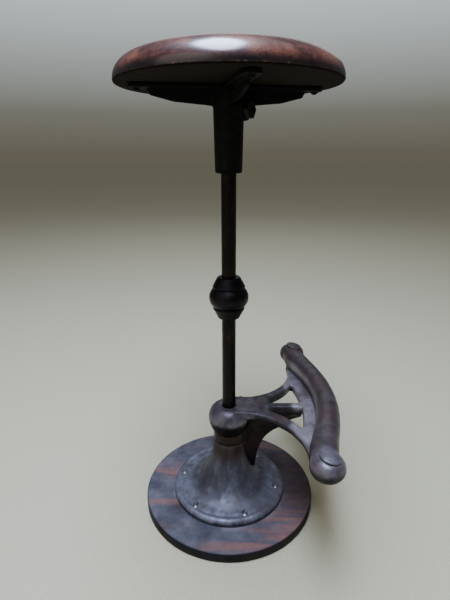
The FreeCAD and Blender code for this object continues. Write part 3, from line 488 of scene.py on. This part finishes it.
seatLook = {
    # black is handling grime on the low edge, tinted faintly blue as a painted reflection
    "deep": "#2A1310", "stain": "#4A2721", "red": "#6F3A30", "worn": "#8E5741", "black": "#110F12",
    "chip": "#8F6B50", "chipGrey": "#5A5A68",
    "fibreAcross": 5, "fibreAlong": 70, "fibreTurn": -24, "pore": 0.9,
    "patch": 42, "mottle": 5, "chipSize": 5,
    # where each of these begins and is full, in mm: out from the middle, then three heights
    "rubbed": (110, 142), "lowEdge": (689.5, 679.5), "chipped": (685.2, 684), "coated": (686, 700),
    "lowEdgeWander": 14, "specular": 0.25, "coatRough": 0.19, "coatIor": 1.85,
}


def varnishedSeatWood(name):
    # hardwood stained mahogany under old varnish: red-brown with a deep shine, black with handling
    # in its low edge, that black tinted faintly blue as a painted reflection, rubbed to a warmer brown
    # round the shoulder, chipped along the lower arris
    look = seatLook
    material, tree, coords, shader = newMaterial(name)
    place = addNode(tree, "ShaderNodeSeparateXYZ", {"Vector": coords}).outputs
    along = addNode(tree, "ShaderNodeMapping", {
        "Vector": coords, "Rotation": (0, 0, math.radians(look["fibreTurn"])),
        "Scale": (look["fibreAcross"] / look["fibreAlong"], 1, 1)})
    fibre = addNode(tree, "ShaderNodeTexNoise", {
        "Vector": along, "Scale": grain(look["fibreAcross"]), "Detail": 7.0, "Roughness": 0.6,
        "Distortion": 0.4})
    pores = addNode(tree, "ShaderNodeTexNoise", {
        "Vector": along, "Scale": grain(look["pore"]), "Detail": 2.0})
    patches = addNode(tree, "ShaderNodeTexNoise", {
        "Vector": coords, "Scale": grain(look["patch"]), "Detail": 4.0, "Roughness": 0.6})
    mottle = addNode(tree, "ShaderNodeTexNoise", {
        "Vector": coords, "Scale": grain(look["mottle"]), "Detail": 5.0, "Roughness": 0.65})
    stained = addNode(tree, "ShaderNodeValToRGB", {"Fac": fibre}, stops=[
        (0.3, look["deep"]), (0.5, look["stain"]), (0.7, look["red"])])
    flat = addNode(tree, "ShaderNodeVectorMath", {0: coords, 1: (1, 1, 0)}, operation="MULTIPLY")
    reach = addNode(tree, "ShaderNodeVectorMath", {0: flat}, operation="LENGTH")
    start, full = look["rubbed"]
    outer = addNode(tree, "ShaderNodeMapRange", {
        "Value": reach, "From Min": start * mm, "From Max": full * mm}, interpolation_type="SMOOTHSTEP")
    wornPatch = addNode(tree, "ShaderNodeMapRange", {
        "Value": patches, "From Min": 0.42, "From Max": 0.62, "To Max": 0.75},
        interpolation_type="SMOOTHSTEP")
    bare = addNode(tree, "ShaderNodeMath", {0: outer, 1: wornPatch}, operation="MULTIPLY")
    colour = addNode(tree, "ShaderNodeMix", {0: bare, 6: stained, 7: look["worn"]}, data_type="RGBA")
    blotch = addNode(tree, "ShaderNodeMapRange", {
        "Value": mottle, "From Min": 0.46, "From Max": 0.36, "To Max": 0.6}, interpolation_type="SMOOTHSTEP")
    colour = addNode(tree, "ShaderNodeMix", {0: blotch, 6: colour, 7: look["deep"]}, data_type="RGBA")
    # the dark low edge wanders up and down by a few mm with the mottle
    ragged = addNode(tree, "ShaderNodeMath", {
        0: mottle, 1: -look["lowEdgeWander"] * mm, 2: place["Z"]}, operation="MULTIPLY_ADD")
    start, full = look["lowEdge"]
    lowEdge = addNode(tree, "ShaderNodeMapRange", {
        "Value": ragged, "From Min": start * mm, "From Max": full * mm, "To Max": 0.9},
        interpolation_type="SMOOTHSTEP")
    colour = addNode(tree, "ShaderNodeMix", {0: lowEdge, 6: colour, 7: look["black"]}, data_type="RGBA")
    chips = addNode(tree, "ShaderNodeTexNoise", {
        "Vector": coords, "Scale": grain(look["chipSize"]), "Detail": 4.0, "Roughness": 0.7})
    chipped = addNode(tree, "ShaderNodeMapRange", {
        "Value": chips, "From Min": 0.56, "From Max": 0.66, "To Max": 0.7})
    start, full = look["chipped"]
    arris = addNode(tree, "ShaderNodeMapRange", {
        "Value": place["Z"], "From Min": start * mm, "From Max": full * mm})
    chipped = addNode(tree, "ShaderNodeMath", {0: chipped, 1: arris}, operation="MULTIPLY")
    chipTone = addNode(tree, "ShaderNodeValToRGB", {"Fac": patches}, stops=[
        (0.42, look["chipGrey"]), (0.56, look["chip"])])
    colour = addNode(tree, "ShaderNodeMix", {0: chipped, 6: colour, 7: chipTone}, data_type="RGBA")
    sheen = addNode(tree, "ShaderNodeMapRange", {
        "Value": mottle, "From Min": 0.3, "From Max": 0.7, "To Min": 0.46, "To Max": 0.32})
    # the varnish has worn thin low on the edge
    start, full = look["coated"]
    varnish = addNode(tree, "ShaderNodeMapRange", {
        "Value": place["Z"], "From Min": start * mm, "From Max": full * mm, "To Min": 0.3})
    fine = addNode(tree, "ShaderNodeBump", {"Height": pores, "Strength": 0.12, "Distance": 0.1 * mm})
    dents = addNode(tree, "ShaderNodeBump", {
        "Height": mottle, "Strength": 0.25, "Distance": 0.5 * mm, "Normal": fine})
    connect(tree, shader, {
        "Base Color": colour, "Roughness": sheen, "Normal": dents, "IOR": 1.5,
        "Specular IOR Level": look["specular"], "Coat Weight": varnish,
        "Coat Roughness": look["coatRough"], "Coat IOR": look["coatIor"]})
    return material


undersideLook = {"dark": "#0A0604", "brown": "#1A0F09", "fibreAcross": 4, "fibreAlong": 90, "fibreTurn": -24}


def bareUnderside(name):
    # the same hardwood left unvarnished below, darkened by age to a matt black-brown with a faint grain
    look = undersideLook
    material, tree, coords, shader = newMaterial(name)
    along = addNode(tree, "ShaderNodeMapping", {
        "Vector": coords, "Rotation": (0, 0, math.radians(look["fibreTurn"])),
        "Scale": (look["fibreAcross"] / look["fibreAlong"], 1, 1)})
    fibre = addNode(tree, "ShaderNodeTexNoise", {
        "Vector": along, "Scale": grain(look["fibreAcross"]), "Detail": 6.0, "Roughness": 0.65})
    colour = addNode(tree, "ShaderNodeValToRGB", {"Fac": fibre}, stops=[
        (0.35, look["dark"]), (0.65, look["brown"])])
    bump = addNode(tree, "ShaderNodeBump", {"Height": fibre, "Strength": 0.4, "Distance": 0.3 * mm})
    connect(tree, shader, {
        "Base Color": colour, "Roughness": 0.9, "Specular IOR Level": 0.1, "Normal": bump})
    return material


baseLook = {
    "grey": "#595860", "pale": "#706E77", "blue": "#494B55", "red": "#8E655C", "dark": "#453A3C",
    # stain is an old oil stain together with the painted shadow of the foot rest
    "edge": "#0D0B0B", "ring": "#85828A", "stain": "#35292A",
    "streakAlong": 150, "streakAcross": 32, "turn": -10, "fibreSize": 2.4, "blot": 30,
    # where each of these begins and is full, in mm: out from the middle twice, out from the stain and painted
    # shadow, a height
    "scuffed": (108, 101), "rim": (146.4, 148.6), "stainShadowReach": (165, 65), "side": (15.5, 14),
    "stainShadowSpot": (128, 26, 17), "stainShadowWander": 50,
}


def weatheredBaseWood(name):
    # a softwood board painted blue-grey, the paint worn away in streaks along the grain to red-brown wood,
    # its rim dark with old paint and its top scuffed pale round the foot
    look = baseLook
    material, tree, coords, shader = newMaterial(name)
    place = addNode(tree, "ShaderNodeSeparateXYZ", {"Vector": coords}).outputs
    along = addNode(tree, "ShaderNodeMapping", {
        "Vector": coords, "Rotation": (0, 0, math.radians(look["turn"])),
        "Scale": (look["streakAcross"] / look["streakAlong"], 1, 1)})
    streak = addNode(tree, "ShaderNodeTexNoise", {
        "Vector": along, "Scale": grain(look["streakAcross"]), "Detail": 5.0, "Roughness": 0.55,
        "Distortion": 0.6})
    fibre = addNode(tree, "ShaderNodeTexNoise", {
        "Vector": along, "Scale": grain(look["fibreSize"]), "Detail": 4.0, "Roughness": 0.7})
    blots = addNode(tree, "ShaderNodeTexNoise", {
        "Vector": coords, "Scale": grain(look["blot"]), "Detail": 7.0, "Roughness": 0.55})
    wood = addNode(tree, "ShaderNodeValToRGB", {"Fac": fibre}, stops=[
        (0.2, look["dark"]), (0.48, look["red"])])
    coat = addNode(tree, "ShaderNodeValToRGB", {"Fac": blots}, stops=[
        (0.3, look["dark"]), (0.42, look["blue"]), (0.54, look["grey"]), (0.72, look["pale"])])
    bare = addNode(tree, "ShaderNodeMapRange", {
        "Value": streak, "From Min": 0.46, "From Max": 0.64, "To Max": 0.8}, interpolation_type="SMOOTHSTEP")
    colour = addNode(tree, "ShaderNodeMix", {0: bare, 6: coat, 7: wood}, data_type="RGBA")
    flat = addNode(tree, "ShaderNodeVectorMath", {0: coords, 1: (1, 1, 0)}, operation="MULTIPLY")
    reach = addNode(tree, "ShaderNodeVectorMath", {0: flat}, operation="LENGTH")
    start, full = look["scuffed"]
    near = addNode(tree, "ShaderNodeMapRange", {
        "Value": reach, "From Min": start * mm, "From Max": full * mm}, interpolation_type="SMOOTHSTEP")
    scuff = addNode(tree, "ShaderNodeMapRange", {
        "Value": blots, "From Min": 0.42, "From Max": 0.62, "To Max": 0.5}, interpolation_type="SMOOTHSTEP")
    ring = addNode(tree, "ShaderNodeMath", {0: near, 1: scuff}, operation="MULTIPLY")
    colour = addNode(tree, "ShaderNodeMix", {0: ring, 6: colour, 7: look["ring"]}, data_type="RGBA")
    # an old oil stain has soaked in under the foot rest, painted darker there as the foot rest's shadow
    stainShadowSpot = [part * mm for part in look["stainShadowSpot"]]
    apart = addNode(tree, "ShaderNodeVectorMath", {0: coords, 1: stainShadowSpot}, operation="DISTANCE")
    ragged = addNode(tree, "ShaderNodeMath", {
        0: streak, 1: look["stainShadowWander"] * mm, 2: apart}, operation="MULTIPLY_ADD")
    start, full = look["stainShadowReach"]
    stained = addNode(tree, "ShaderNodeMapRange", {
        "Value": ragged, "From Min": start * mm, "From Max": full * mm, "To Max": 0.85},
        interpolation_type="SMOOTHSTEP")
    colour = addNode(tree, "ShaderNodeMix", {0: stained, 6: colour, 7: look["stain"]}, data_type="RGBA")
    start, full = look["rim"]
    outer = addNode(tree, "ShaderNodeMapRange", {
        "Value": reach, "From Min": start * mm, "From Max": full * mm, "To Max": 0.9})
    start, full = look["side"]
    side = addNode(tree, "ShaderNodeMapRange", {
        "Value": place["Z"], "From Min": start * mm, "From Max": full * mm, "To Max": 0.9})
    rim = addNode(tree, "ShaderNodeMath", {0: outer, 1: side}, operation="MAXIMUM")
    colour = addNode(tree, "ShaderNodeMix", {0: rim, 6: colour, 7: look["edge"]}, data_type="RGBA")
    sheen = addNode(tree, "ShaderNodeMapRange", {
        "Value": blots, "From Min": 0.35, "From Max": 0.65, "To Min": 0.68, "To Max": 0.48})
    fine = addNode(tree, "ShaderNodeBump", {"Height": fibre, "Strength": 0.35, "Distance": 0.3 * mm})
    worn = addNode(tree, "ShaderNodeBump", {
        "Height": streak, "Strength": 0.35, "Distance": 0.7 * mm, "Normal": fine})
    dulled = addNode(tree, "ShaderNodeMapRange", {"Value": rim, "To Min": 0.35, "To Max": 0.08})
    connect(tree, shader, {
        "Base Color": colour, "Roughness": sheen, "Normal": worn, "Specular IOR Level": dulled})
    return material


bellIron = agedCastIron("bellCastIron", castings["bell"])
restIron = agedCastIron("restCastIron", castings["rest"])
socketIron = agedCastIron("socketCastIron", castings["socket"])
rodSteel = brownedSteel("brownedRodSteel", barSteel["rod"])
bulbSteel = brownedSteel("brownedBulbSteel", barSteel["bulb"])
screwSteel = brownedSteel("rubbedScrewSteel", barSteel["screw"])
washerBrass = turnedMetal("tarnishedBrass", cleanMetals["brass"])
ballSteel = turnedMetal("groundBallSteel", cleanMetals["ball"])
seatWood = varnishedSeatWood("varnishedSeatWood")
seatUnderWood = bareUnderside("bareUndersideWood")
baseWood = weatheredBaseWood("weatheredBaseWood")
print("materials mixed")

baseBoard = {"radius": 149, "thickness": 17.2, "edge": 2.6, "rings": 26, "ringsBelow": 6, "uneven": (38, 0.5)}


def makeBaseBoard():
    # rings of points across the faces let them be uneven
    radius, top, edge = baseBoard["radius"], baseBoard["thickness"], baseBoard["edge"]
    rings, below = baseBoard["rings"], baseBoard["ringsBelow"]
    outline = [(radius * k / below, 0) for k in range(below)] + [(radius - edge, 0)]
    outline += bend((radius - edge, 0), (radius, edge), edge, 4)
    outline += [(radius, top * 0.5), (radius, top - edge)]
    outline += bend((radius, top - edge), (radius - edge, top), edge, 5)
    outline += [(radius * (1 - k / rings), top) for k in range(1, rings)] + [(0, top)]
    board = turnedPiece("baseBoardWood", outline, steps=192)
    rough(board, *baseBoard["uneven"])
    smoothed(board, 50)
    paint(board, baseWood)
    standsFor(board, "base", "base_board")


bellFoot = {
    "flange": 99, "lip": 9, "side": 23, "bead": (94.2, 29.0), "dip": (89.6, 28.5), "foot": (84, 29.5),
    "waist": (53.5, 45), "neck": 27.6, "neckStart": 112, "neckTop": 119,
    "neckEase": ((0, 5), (0.4, 2.5), (1.6, 0)),  # how far in and how far below its top the neck's edge passes
    "spigot": 19, "spigotTop": 156, "spigotEase": 1, "bore": 11.2, "boreLow": 108, "wall": 6.5,
    # the arcs' radii, outside from the flange up and inside from the neck down
    "beadBend": 6.4, "dipBend": 4.5, "footBend": 12, "flareBend": 52, "neckBend": 100,
    "hollowNeckBend": 106.5, "hollowFlareBend": 58.5, "uneven": (30, 0.5),
}


def makeBellFoot():
    b = bellFoot
    low, wall, spigot, top = baseBoard["thickness"], b["wall"], b["spigot"], b["spigotTop"]
    lip = (b["flange"] - b["lip"], low)
    outline = [lip, (b["flange"], low), (b["flange"], b["side"])]
    outline += bend((b["flange"], b["side"]), b["bead"], b["beadBend"], 8)
    outline += bend(b["bead"], b["dip"], b["dipBend"], 5)
    outline += bend(b["dip"], b["foot"], -b["footBend"], 5)
    outline += bend(b["foot"], b["waist"], -b["flareBend"], 14)
    outline += bend(b["waist"], (b["neck"], b["neckStart"]), -b["neckBend"], 22)
    outline += [(b["neck"] - inward, b["neckTop"] - down) for inward, down in b["neckEase"]]
    outline += [(spigot, b["neckTop"]), (spigot, top - b["spigotEase"]), (spigot - b["spigotEase"], top)]
    outline += [(b["bore"], top), (b["bore"], b["boreLow"])]
    # the hollow lies inside the neck, the waist and the foot by the thickness of the wall
    hollowNeck = (b["neck"] - wall, b["boreLow"])
    hollowWaist, hollowFoot = [(radius - wall, height - wall) for radius, height in (b["waist"], b["foot"])]
    outline += [hollowNeck] + bend(hollowNeck, hollowWaist, b["hollowNeckBend"], 10)
    outline += bend(hollowWaist, hollowFoot, b["hollowFlareBend"], 8) + [lip]
    bell = turnedPiece("bellFootCasting", outline, steps=192)
    rough(bell, *b["uneven"])
    sinkScrews(bell)
    smoothed(bell, 40)
    paint(bell, bellIron)
    standsFor(bell, "base", "pedestal")


flangeScrews = {
    "circle": 85, "count": 6, "turn": 48,
    # a screw read up its side, radius and height, as far as the rim of its oval head
    "side": ((0, 7.2), (2.5, 12.2), (2.5, 24.5), (4.7, 27.4), (5, 28.1)), "headTop": 30.0, "headBend": 7.55,
    "blade": (15, 1.1, 2.4), "bladeMiddle": 30.4, "slotTurns": (20, 75, 130, 50, 160, 100),
    "sinkLow": 2.52, "sinkHigh": 6.2, "sinkDepth": 6, "sinkMiddle": 27.4,
}


def screwSpots():
    step = 360 / flangeScrews["count"]
    for index in range(flangeScrews["count"]):
        angle = math.radians(flangeScrews["turn"] + step * index)
        yield index, flangeScrews["circle"] * math.cos(angle), flangeScrews["circle"] * math.sin(angle)


def sinkScrews(bell):
    # the countersinks open a little wider at the surface than the heads
    f = flangeScrews
    startFresh()
    cutters = []
    for index, x, y in screwSpots():
        bpy.ops.mesh.primitive_cone_add(
            vertices=40, radius1=f["sinkLow"] * mm, radius2=f["sinkHigh"] * mm, depth=f["sinkDepth"] * mm,
            location=(x * mm, y * mm, f["sinkMiddle"] * mm))
        cutters.append(bpy.context.object)
    cutters = joined(cutters)
    applied(bell, "BOOLEAN", operation="DIFFERENCE", object=cutters, solver="EXACT")
    bpy.data.objects.remove(cutters)


def makeFlangeScrews():
    f = flangeScrews
    outline = [*f["side"], *bend(f["side"][-1], (0, f["headTop"]), f["headBend"], 8)]
    screws = []
    for index, x, y in screwSpots():
        screw = turnedPiece("flangeScrew", outline, steps=32)
        startFresh()
        bpy.ops.mesh.primitive_cube_add(size=1, location=(0, 0, f["bladeMiddle"] * mm))
        blade = bpy.context.object
        blade.scale = [side * mm for side in f["blade"]]
        bpy.ops.object.transform_apply(location=False, rotation=False, scale=True)
        applied(screw, "BOOLEAN", operation="DIFFERENCE", object=blade, solver="EXACT")
        bpy.data.objects.remove(blade)
        turn = Matrix.Rotation(math.radians(f["slotTurns"][index]), 4, "Z")
        screw.data.transform(Matrix.Translation((x * mm, y * mm, 0)) @ turn)
        smoothed(screw, 35)
        screws.append(screw)
    screws = joined(screws)
    screws.name = "flangeWoodScrews"
    paint(screws, screwSteel)
    standsFor(screws, "base", "flange_screws")


thrustWasher = {"inner": 19.1, "outer": 25.5, "thickness": 1.6, "ease": 0.3}


def makeThrustWasher():
    inner, outer, ease = thrustWasher["inner"], thrustWasher["outer"], thrustWasher["ease"]
    low = bellFoot["neckTop"]
    top = low + thrustWasher["thickness"]
    outline = [(inner, low), (outer - ease, low), (outer, low + ease), (outer, top - ease)]
    outline += [(outer - ease, top), (inner, top), (inner, low)]
    washer = turnedPiece("thrustWasherRing", outline, steps=96)
    smoothed(washer, 30)
    paint(washer, washerBrass)
    standsFor(washer, "base", "thrust_washer")


footRest = {
    "voxel": 1.35, "uneven": (24, 0.5),
    # rounds of easing over the whole casting, over the arms and bar, and over the middle arm
    "hubFillet": 3, "fillet": 32, "spokeFillet": 12,
    "easeFrom": 34, "easeOver": 14, "easeAbove": 150,
    "spokeSpan": (52, 118), "spokeHalf": 14, "spokeEnds": 8, "spokeSides": 3,
    # the bar's middle line is an arc as far as arcEnd to each side, then runs straight to the ball's middle
    "barHeight": 200, "arcEnd": 125, "ballReach": 131, "ballOffset": 172,
    # the bar's radius at these distances to the side
    "barSizes": ((0, 18.4), (40, 18.6), (80, 19.2), (115, 20.0), (140, 20.2), (151, 18.6), (160, 14)),
}


def barSpot(offset):
    # how far out from the rod the bar's middle line is
    radius, arcEnd = barArc["radius"], footRest["arcEnd"]
    centre = barArc["reach"] - radius
    if abs(offset) <= arcEnd:
        return centre + math.sqrt(radius ** 2 - offset ** 2)
    start = centre + math.sqrt(radius ** 2 - arcEnd ** 2)
    share = (abs(offset) - arcEnd) / (footRest["ballOffset"] - arcEnd)
    return start + (footRest["ballReach"] - start) * share


def makeFootRest():
    casting = copyOfCad("footRestCasting", "foot_rest")
    startFresh()
    bpy.ops.curve.primitive_nurbs_path_add()
    tube = bpy.context.object
    tube.name = "barTube"
    path = tube.data.splines[0]
    halves = footRest["barSizes"]
    spots = [(-y, r) for y, r in reversed(halves)] + list(halves[1:])
    path.points.add(len(spots) - len(path.points))
    for point, (y, radius) in zip(path.points, spots):
        point.co = (barSpot(y) * mm, y * mm, footRest["barHeight"] * mm, 1)
        point.radius = radius * mm
    path.order_u = 4
    path.use_endpoint_u = True
    path.resolution_u = 12
    tube.data.bevel_depth = 1
    tube.data.bevel_resolution = 10
    tube.data.use_fill_caps = True
    bpy.ops.object.convert(target="MESH")
    tube = bpy.context.object
    bpy.ops.object.transform_apply()
    casting = joined([casting, tube])
    remeshed(casting, footRest["voxel"])
    eased(casting, footRest["hubFillet"])
    # the arms and the bar are eased much more than the hub
    arms = casting.vertex_groups.new(name="arms")
    for point in casting.data.vertices:
        away = math.hypot(point.co.x, point.co.y) / mm
        weight = min(max((away - footRest["easeFrom"]) / footRest["easeOver"], 0), 1)
        if weight > 0 and point.co.z > footRest["easeAbove"] * mm:
            arms.add([point.index], weight, "REPLACE")
    eased(casting, footRest["fillet"], vertex_group="arms")
    spoke = casting.vertex_groups.new(name="spoke")
    near, far = footRest["spokeSpan"]
    for point in casting.data.vertices:
        x, y, z = point.co / mm
        within = min(x - near, far - x) / footRest["spokeEnds"]
        weight = min(within, (footRest["spokeHalf"] - abs(y)) / footRest["spokeSides"], 1)
        if weight > 0 and z > footRest["easeAbove"]:
            spoke.add([point.index], weight, "REPLACE")
    eased(casting, footRest["spokeFillet"], vertex_group="spoke")
    rough(casting, *footRest["uneven"])
    smoothed(casting, 180)
    paint(casting, restIron)
    standsFor(casting, "foot_rest", "foot_rest")
    print("foot rest faces", len(casting.data.polygons))


endButtons = {
    # heights are above the middle of the ball
    "radius": 15.4, "low": 13.8, "lowEase": 0.5, "side": 16.0, "edge": 2.6, "top": 21.4,
    "tilt": 12, "uneven": (9, 0.35),
}


def makeEndButtons():
    b = endButtons
    radius, low, ease = b["radius"], b["low"], b["lowEase"]
    outline = [(0, low), (radius - ease, low), (radius, low + ease), (radius, b["side"])]
    flat, shoulder = radius - b["edge"], b["side"] + b["edge"]
    outline += bend((radius, b["side"]), (flat, shoulder), b["edge"], 6)
    outline += bend((flat, shoulder), (0, b["top"]), crownBend(flat, b["top"] - shoulder), 10)
    for name, side in (("Near", -1), ("Far", 1)):
        button = turnedPiece("endButton" + name, outline, steps=64)
        ball = (footRest["ballReach"] * mm, side * footRest["ballOffset"] * mm, footRest["barHeight"] * mm)
        tilt = Matrix.Rotation(math.radians(b["tilt"]), 4, "Y")
        button.data.transform(Matrix.Translation(ball) @ tilt)
        rough(button, *b["uneven"])
        smoothed(button, 50)
        paint(button, restIron)
        standsFor(button, "foot_rest", "foot_rest_button_" + name.lower())


rod = {
    "radius": 11.1, "bottom": 41, "top": 662, "chamfer": 1.2, "firstRing": 61, "ringStep": 29, "rings": 20,
    "groove": (645.5, 654.5, 8.6), "cup": (4.75, 660.9),
}


def makeRod():
    radius, chamfer, bottom, top = rod["radius"], rod["chamfer"], rod["bottom"], rod["top"]
    low, high, floor = rod["groove"]
    cup, cupLow = rod["cup"]
    outline = [(0, bottom), (radius - chamfer, bottom), (radius, bottom + chamfer)]
    # rings on the way up keep its faces from being long slivers
    outline += [(radius, rod["firstRing"] + k * rod["ringStep"]) for k in range(rod["rings"])]
    outline += [(radius, low), (floor, low), (floor, high), (radius, high), (radius, top - chamfer)]
    outline += [(radius - chamfer, top), (cup, top), (0, cupLow)]
    stem = turnedPiece("rodSteel", outline, steps=96)
    smoothed(stem, 35)
    paint(stem, rodSteel)
    standsFor(stem, "post", "post")


bulb = {
    # a beehive turning between two cones: radius and height above its middle, read up one side
    "middle": 380.5, "bore": 11.12, "bottom": -34.3, "lowLip": 14.0, "lowShoulder": (18.4, -29.8),
    "lowBead": ((24.9, -17.8), (24.2, -15.4)), "lowGroove": (23.9, -14.9),
    "bulge": ((24.3, -14.2), (24.3, 15.4)), "highGroove": (23.7, 16.1),
    "highBead": ((24.2, 16.8), (25.0, 19.6)), "highShoulder": (18.9, 31.2), "highLip": 14.6, "top": 34.0,
    "shoulderBend": 4.8, "beadBend": 1.7, "bulgeBend": 19.6,
}


def makeBulb():
    b = bulb
    outline = [(b["bore"], b["bottom"]), (b["lowLip"], b["bottom"])]
    outline += bend(outline[-1], b["lowShoulder"], b["shoulderBend"], 5)
    outline += [b["lowBead"][0]] + bend(*b["lowBead"], b["beadBend"], 5)
    outline += [b["lowGroove"], b["bulge"][0]] + bend(*b["bulge"], b["bulgeBend"], 20)
    outline += [b["highGroove"], b["highBead"][0]] + bend(*b["highBead"], b["beadBend"], 5)
    outline += [b["highShoulder"]] + bend(b["highShoulder"], (b["highLip"], b["top"]), b["shoulderBend"], 5)
    outline += [(b["bore"], b["top"]), outline[0]]
    outline = [(radius, b["middle"] + height) for radius, height in outline]
    knop = turnedPiece("beehiveBulb", outline, steps=112)
    smoothed(knop, 38)
    paint(knop, bulbSteel)
    standsFor(knop, "post", "bulb")


bracket = {"voxel": 1.25, "fillet": 9}


def makeBracket():
    iron = copyOfCad("seatBracketCasting", "seat_bracket")
    remeshed(iron, bracket["voxel"])
    eased(iron, bracket["fillet"])
    smoothed(iron, 180)
    paint(iron, socketIron)
    standsFor(iron, "seat", "seat_bracket")
    print("bracket faces", len(iron.data.polygons))


sharpAngle = 30  # degrees between faces, from which an edge of the small hardware is eased


def refined(name, node, body, material, edge):
    # small hardware keeps its exact shape and gets eased edges
    piece = copyOfCad(name, node)
    applied(piece, "BEVEL", width=edge * mm, segments=2, limit_method="ANGLE",
            angle_limit=math.radians(sharpAngle))
    smoothed(piece, sharpAngle)
    paint(piece, material)
    standsFor(piece, body, node)


seat = {
    "radius": 152.4, "bottom": 681.6, "rings": 20, "arris": 2.5, "side": 3.5,
    # the arcs of the rolled edge: how far in and how high each ends, its radius and its number of points
    "roll": ((7.8, 21.3, 25, 10), (24.8, 31.6, 43, 8), (43, 34.5, 58, 6)),
    "crown": 1, "uneven": (45, 0.55), "downward": -0.2,
}


def makeSeat():
    radius, low, arris, rings = seat["radius"], seat["bottom"], seat["arris"], seat["rings"]
    outline = [(radius * k / rings, low) for k in range(rings)] + [(radius - arris, low)]
    outline += bend((radius - arris, low), (radius, low + arris), arris, 5)
    start = (radius, low + seat["side"])
    outline += [start]
    for inward, height, arcRadius, points in seat["roll"]:
        end = (radius - inward, low + height)
        outline += bend(start, end, arcRadius, points)
        start = end
    # the top is gently crowned inside the roll
    flat, height = start
    outline += bend(start, (0, height + seat["crown"]), crownBend(flat, seat["crown"]), 18)
    board = turnedPiece("seatBoardWood", outline, steps=224)
    rough(board, *seat["uneven"])
    smoothed(board, 50)
    paint(board, seatWood, seatUnderWood)
    for face in board.data.polygons:
        # the faces that look downward are left bare
        face.material_index = 1 if face.normal.z < seat["downward"] else 0
    standsFor(board, "seat", "seat_board")


makeBaseBoard()
makeBellFoot()
makeFlangeScrews()
makeThrustWasher()
print("base made")
makeFootRest()
makeEndButtons()
refined("hubSetScrew", "hub_screw", "hub_screw", rodSteel, 0.5)
refined("clampPadDisc", "clamp_pad", "clamp_pad", washerBrass, 0.3)
print("foot rest made")
makeRod()
makeBulb()
refined("stopPinRod", "stop_pin", "post", screwSteel, 0.3)
refined("bulbPinRod", "bulb_pin", "post", rodSteel, 0.2)
paint(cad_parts["pivot_ball"], ballSteel)
print("rod and bulb made")
makeBracket()
refined("retainingScrewSlotted", "retaining_screw", "seat", rodSteel, 0.3)
refined("lockNutHexagon", "lock_nut", "seat", rodSteel, 0.7)
refined("seatRoundScrews", "seat_screws", "seat", socketIron, 0.2)
makeSeat()
print("seat made")
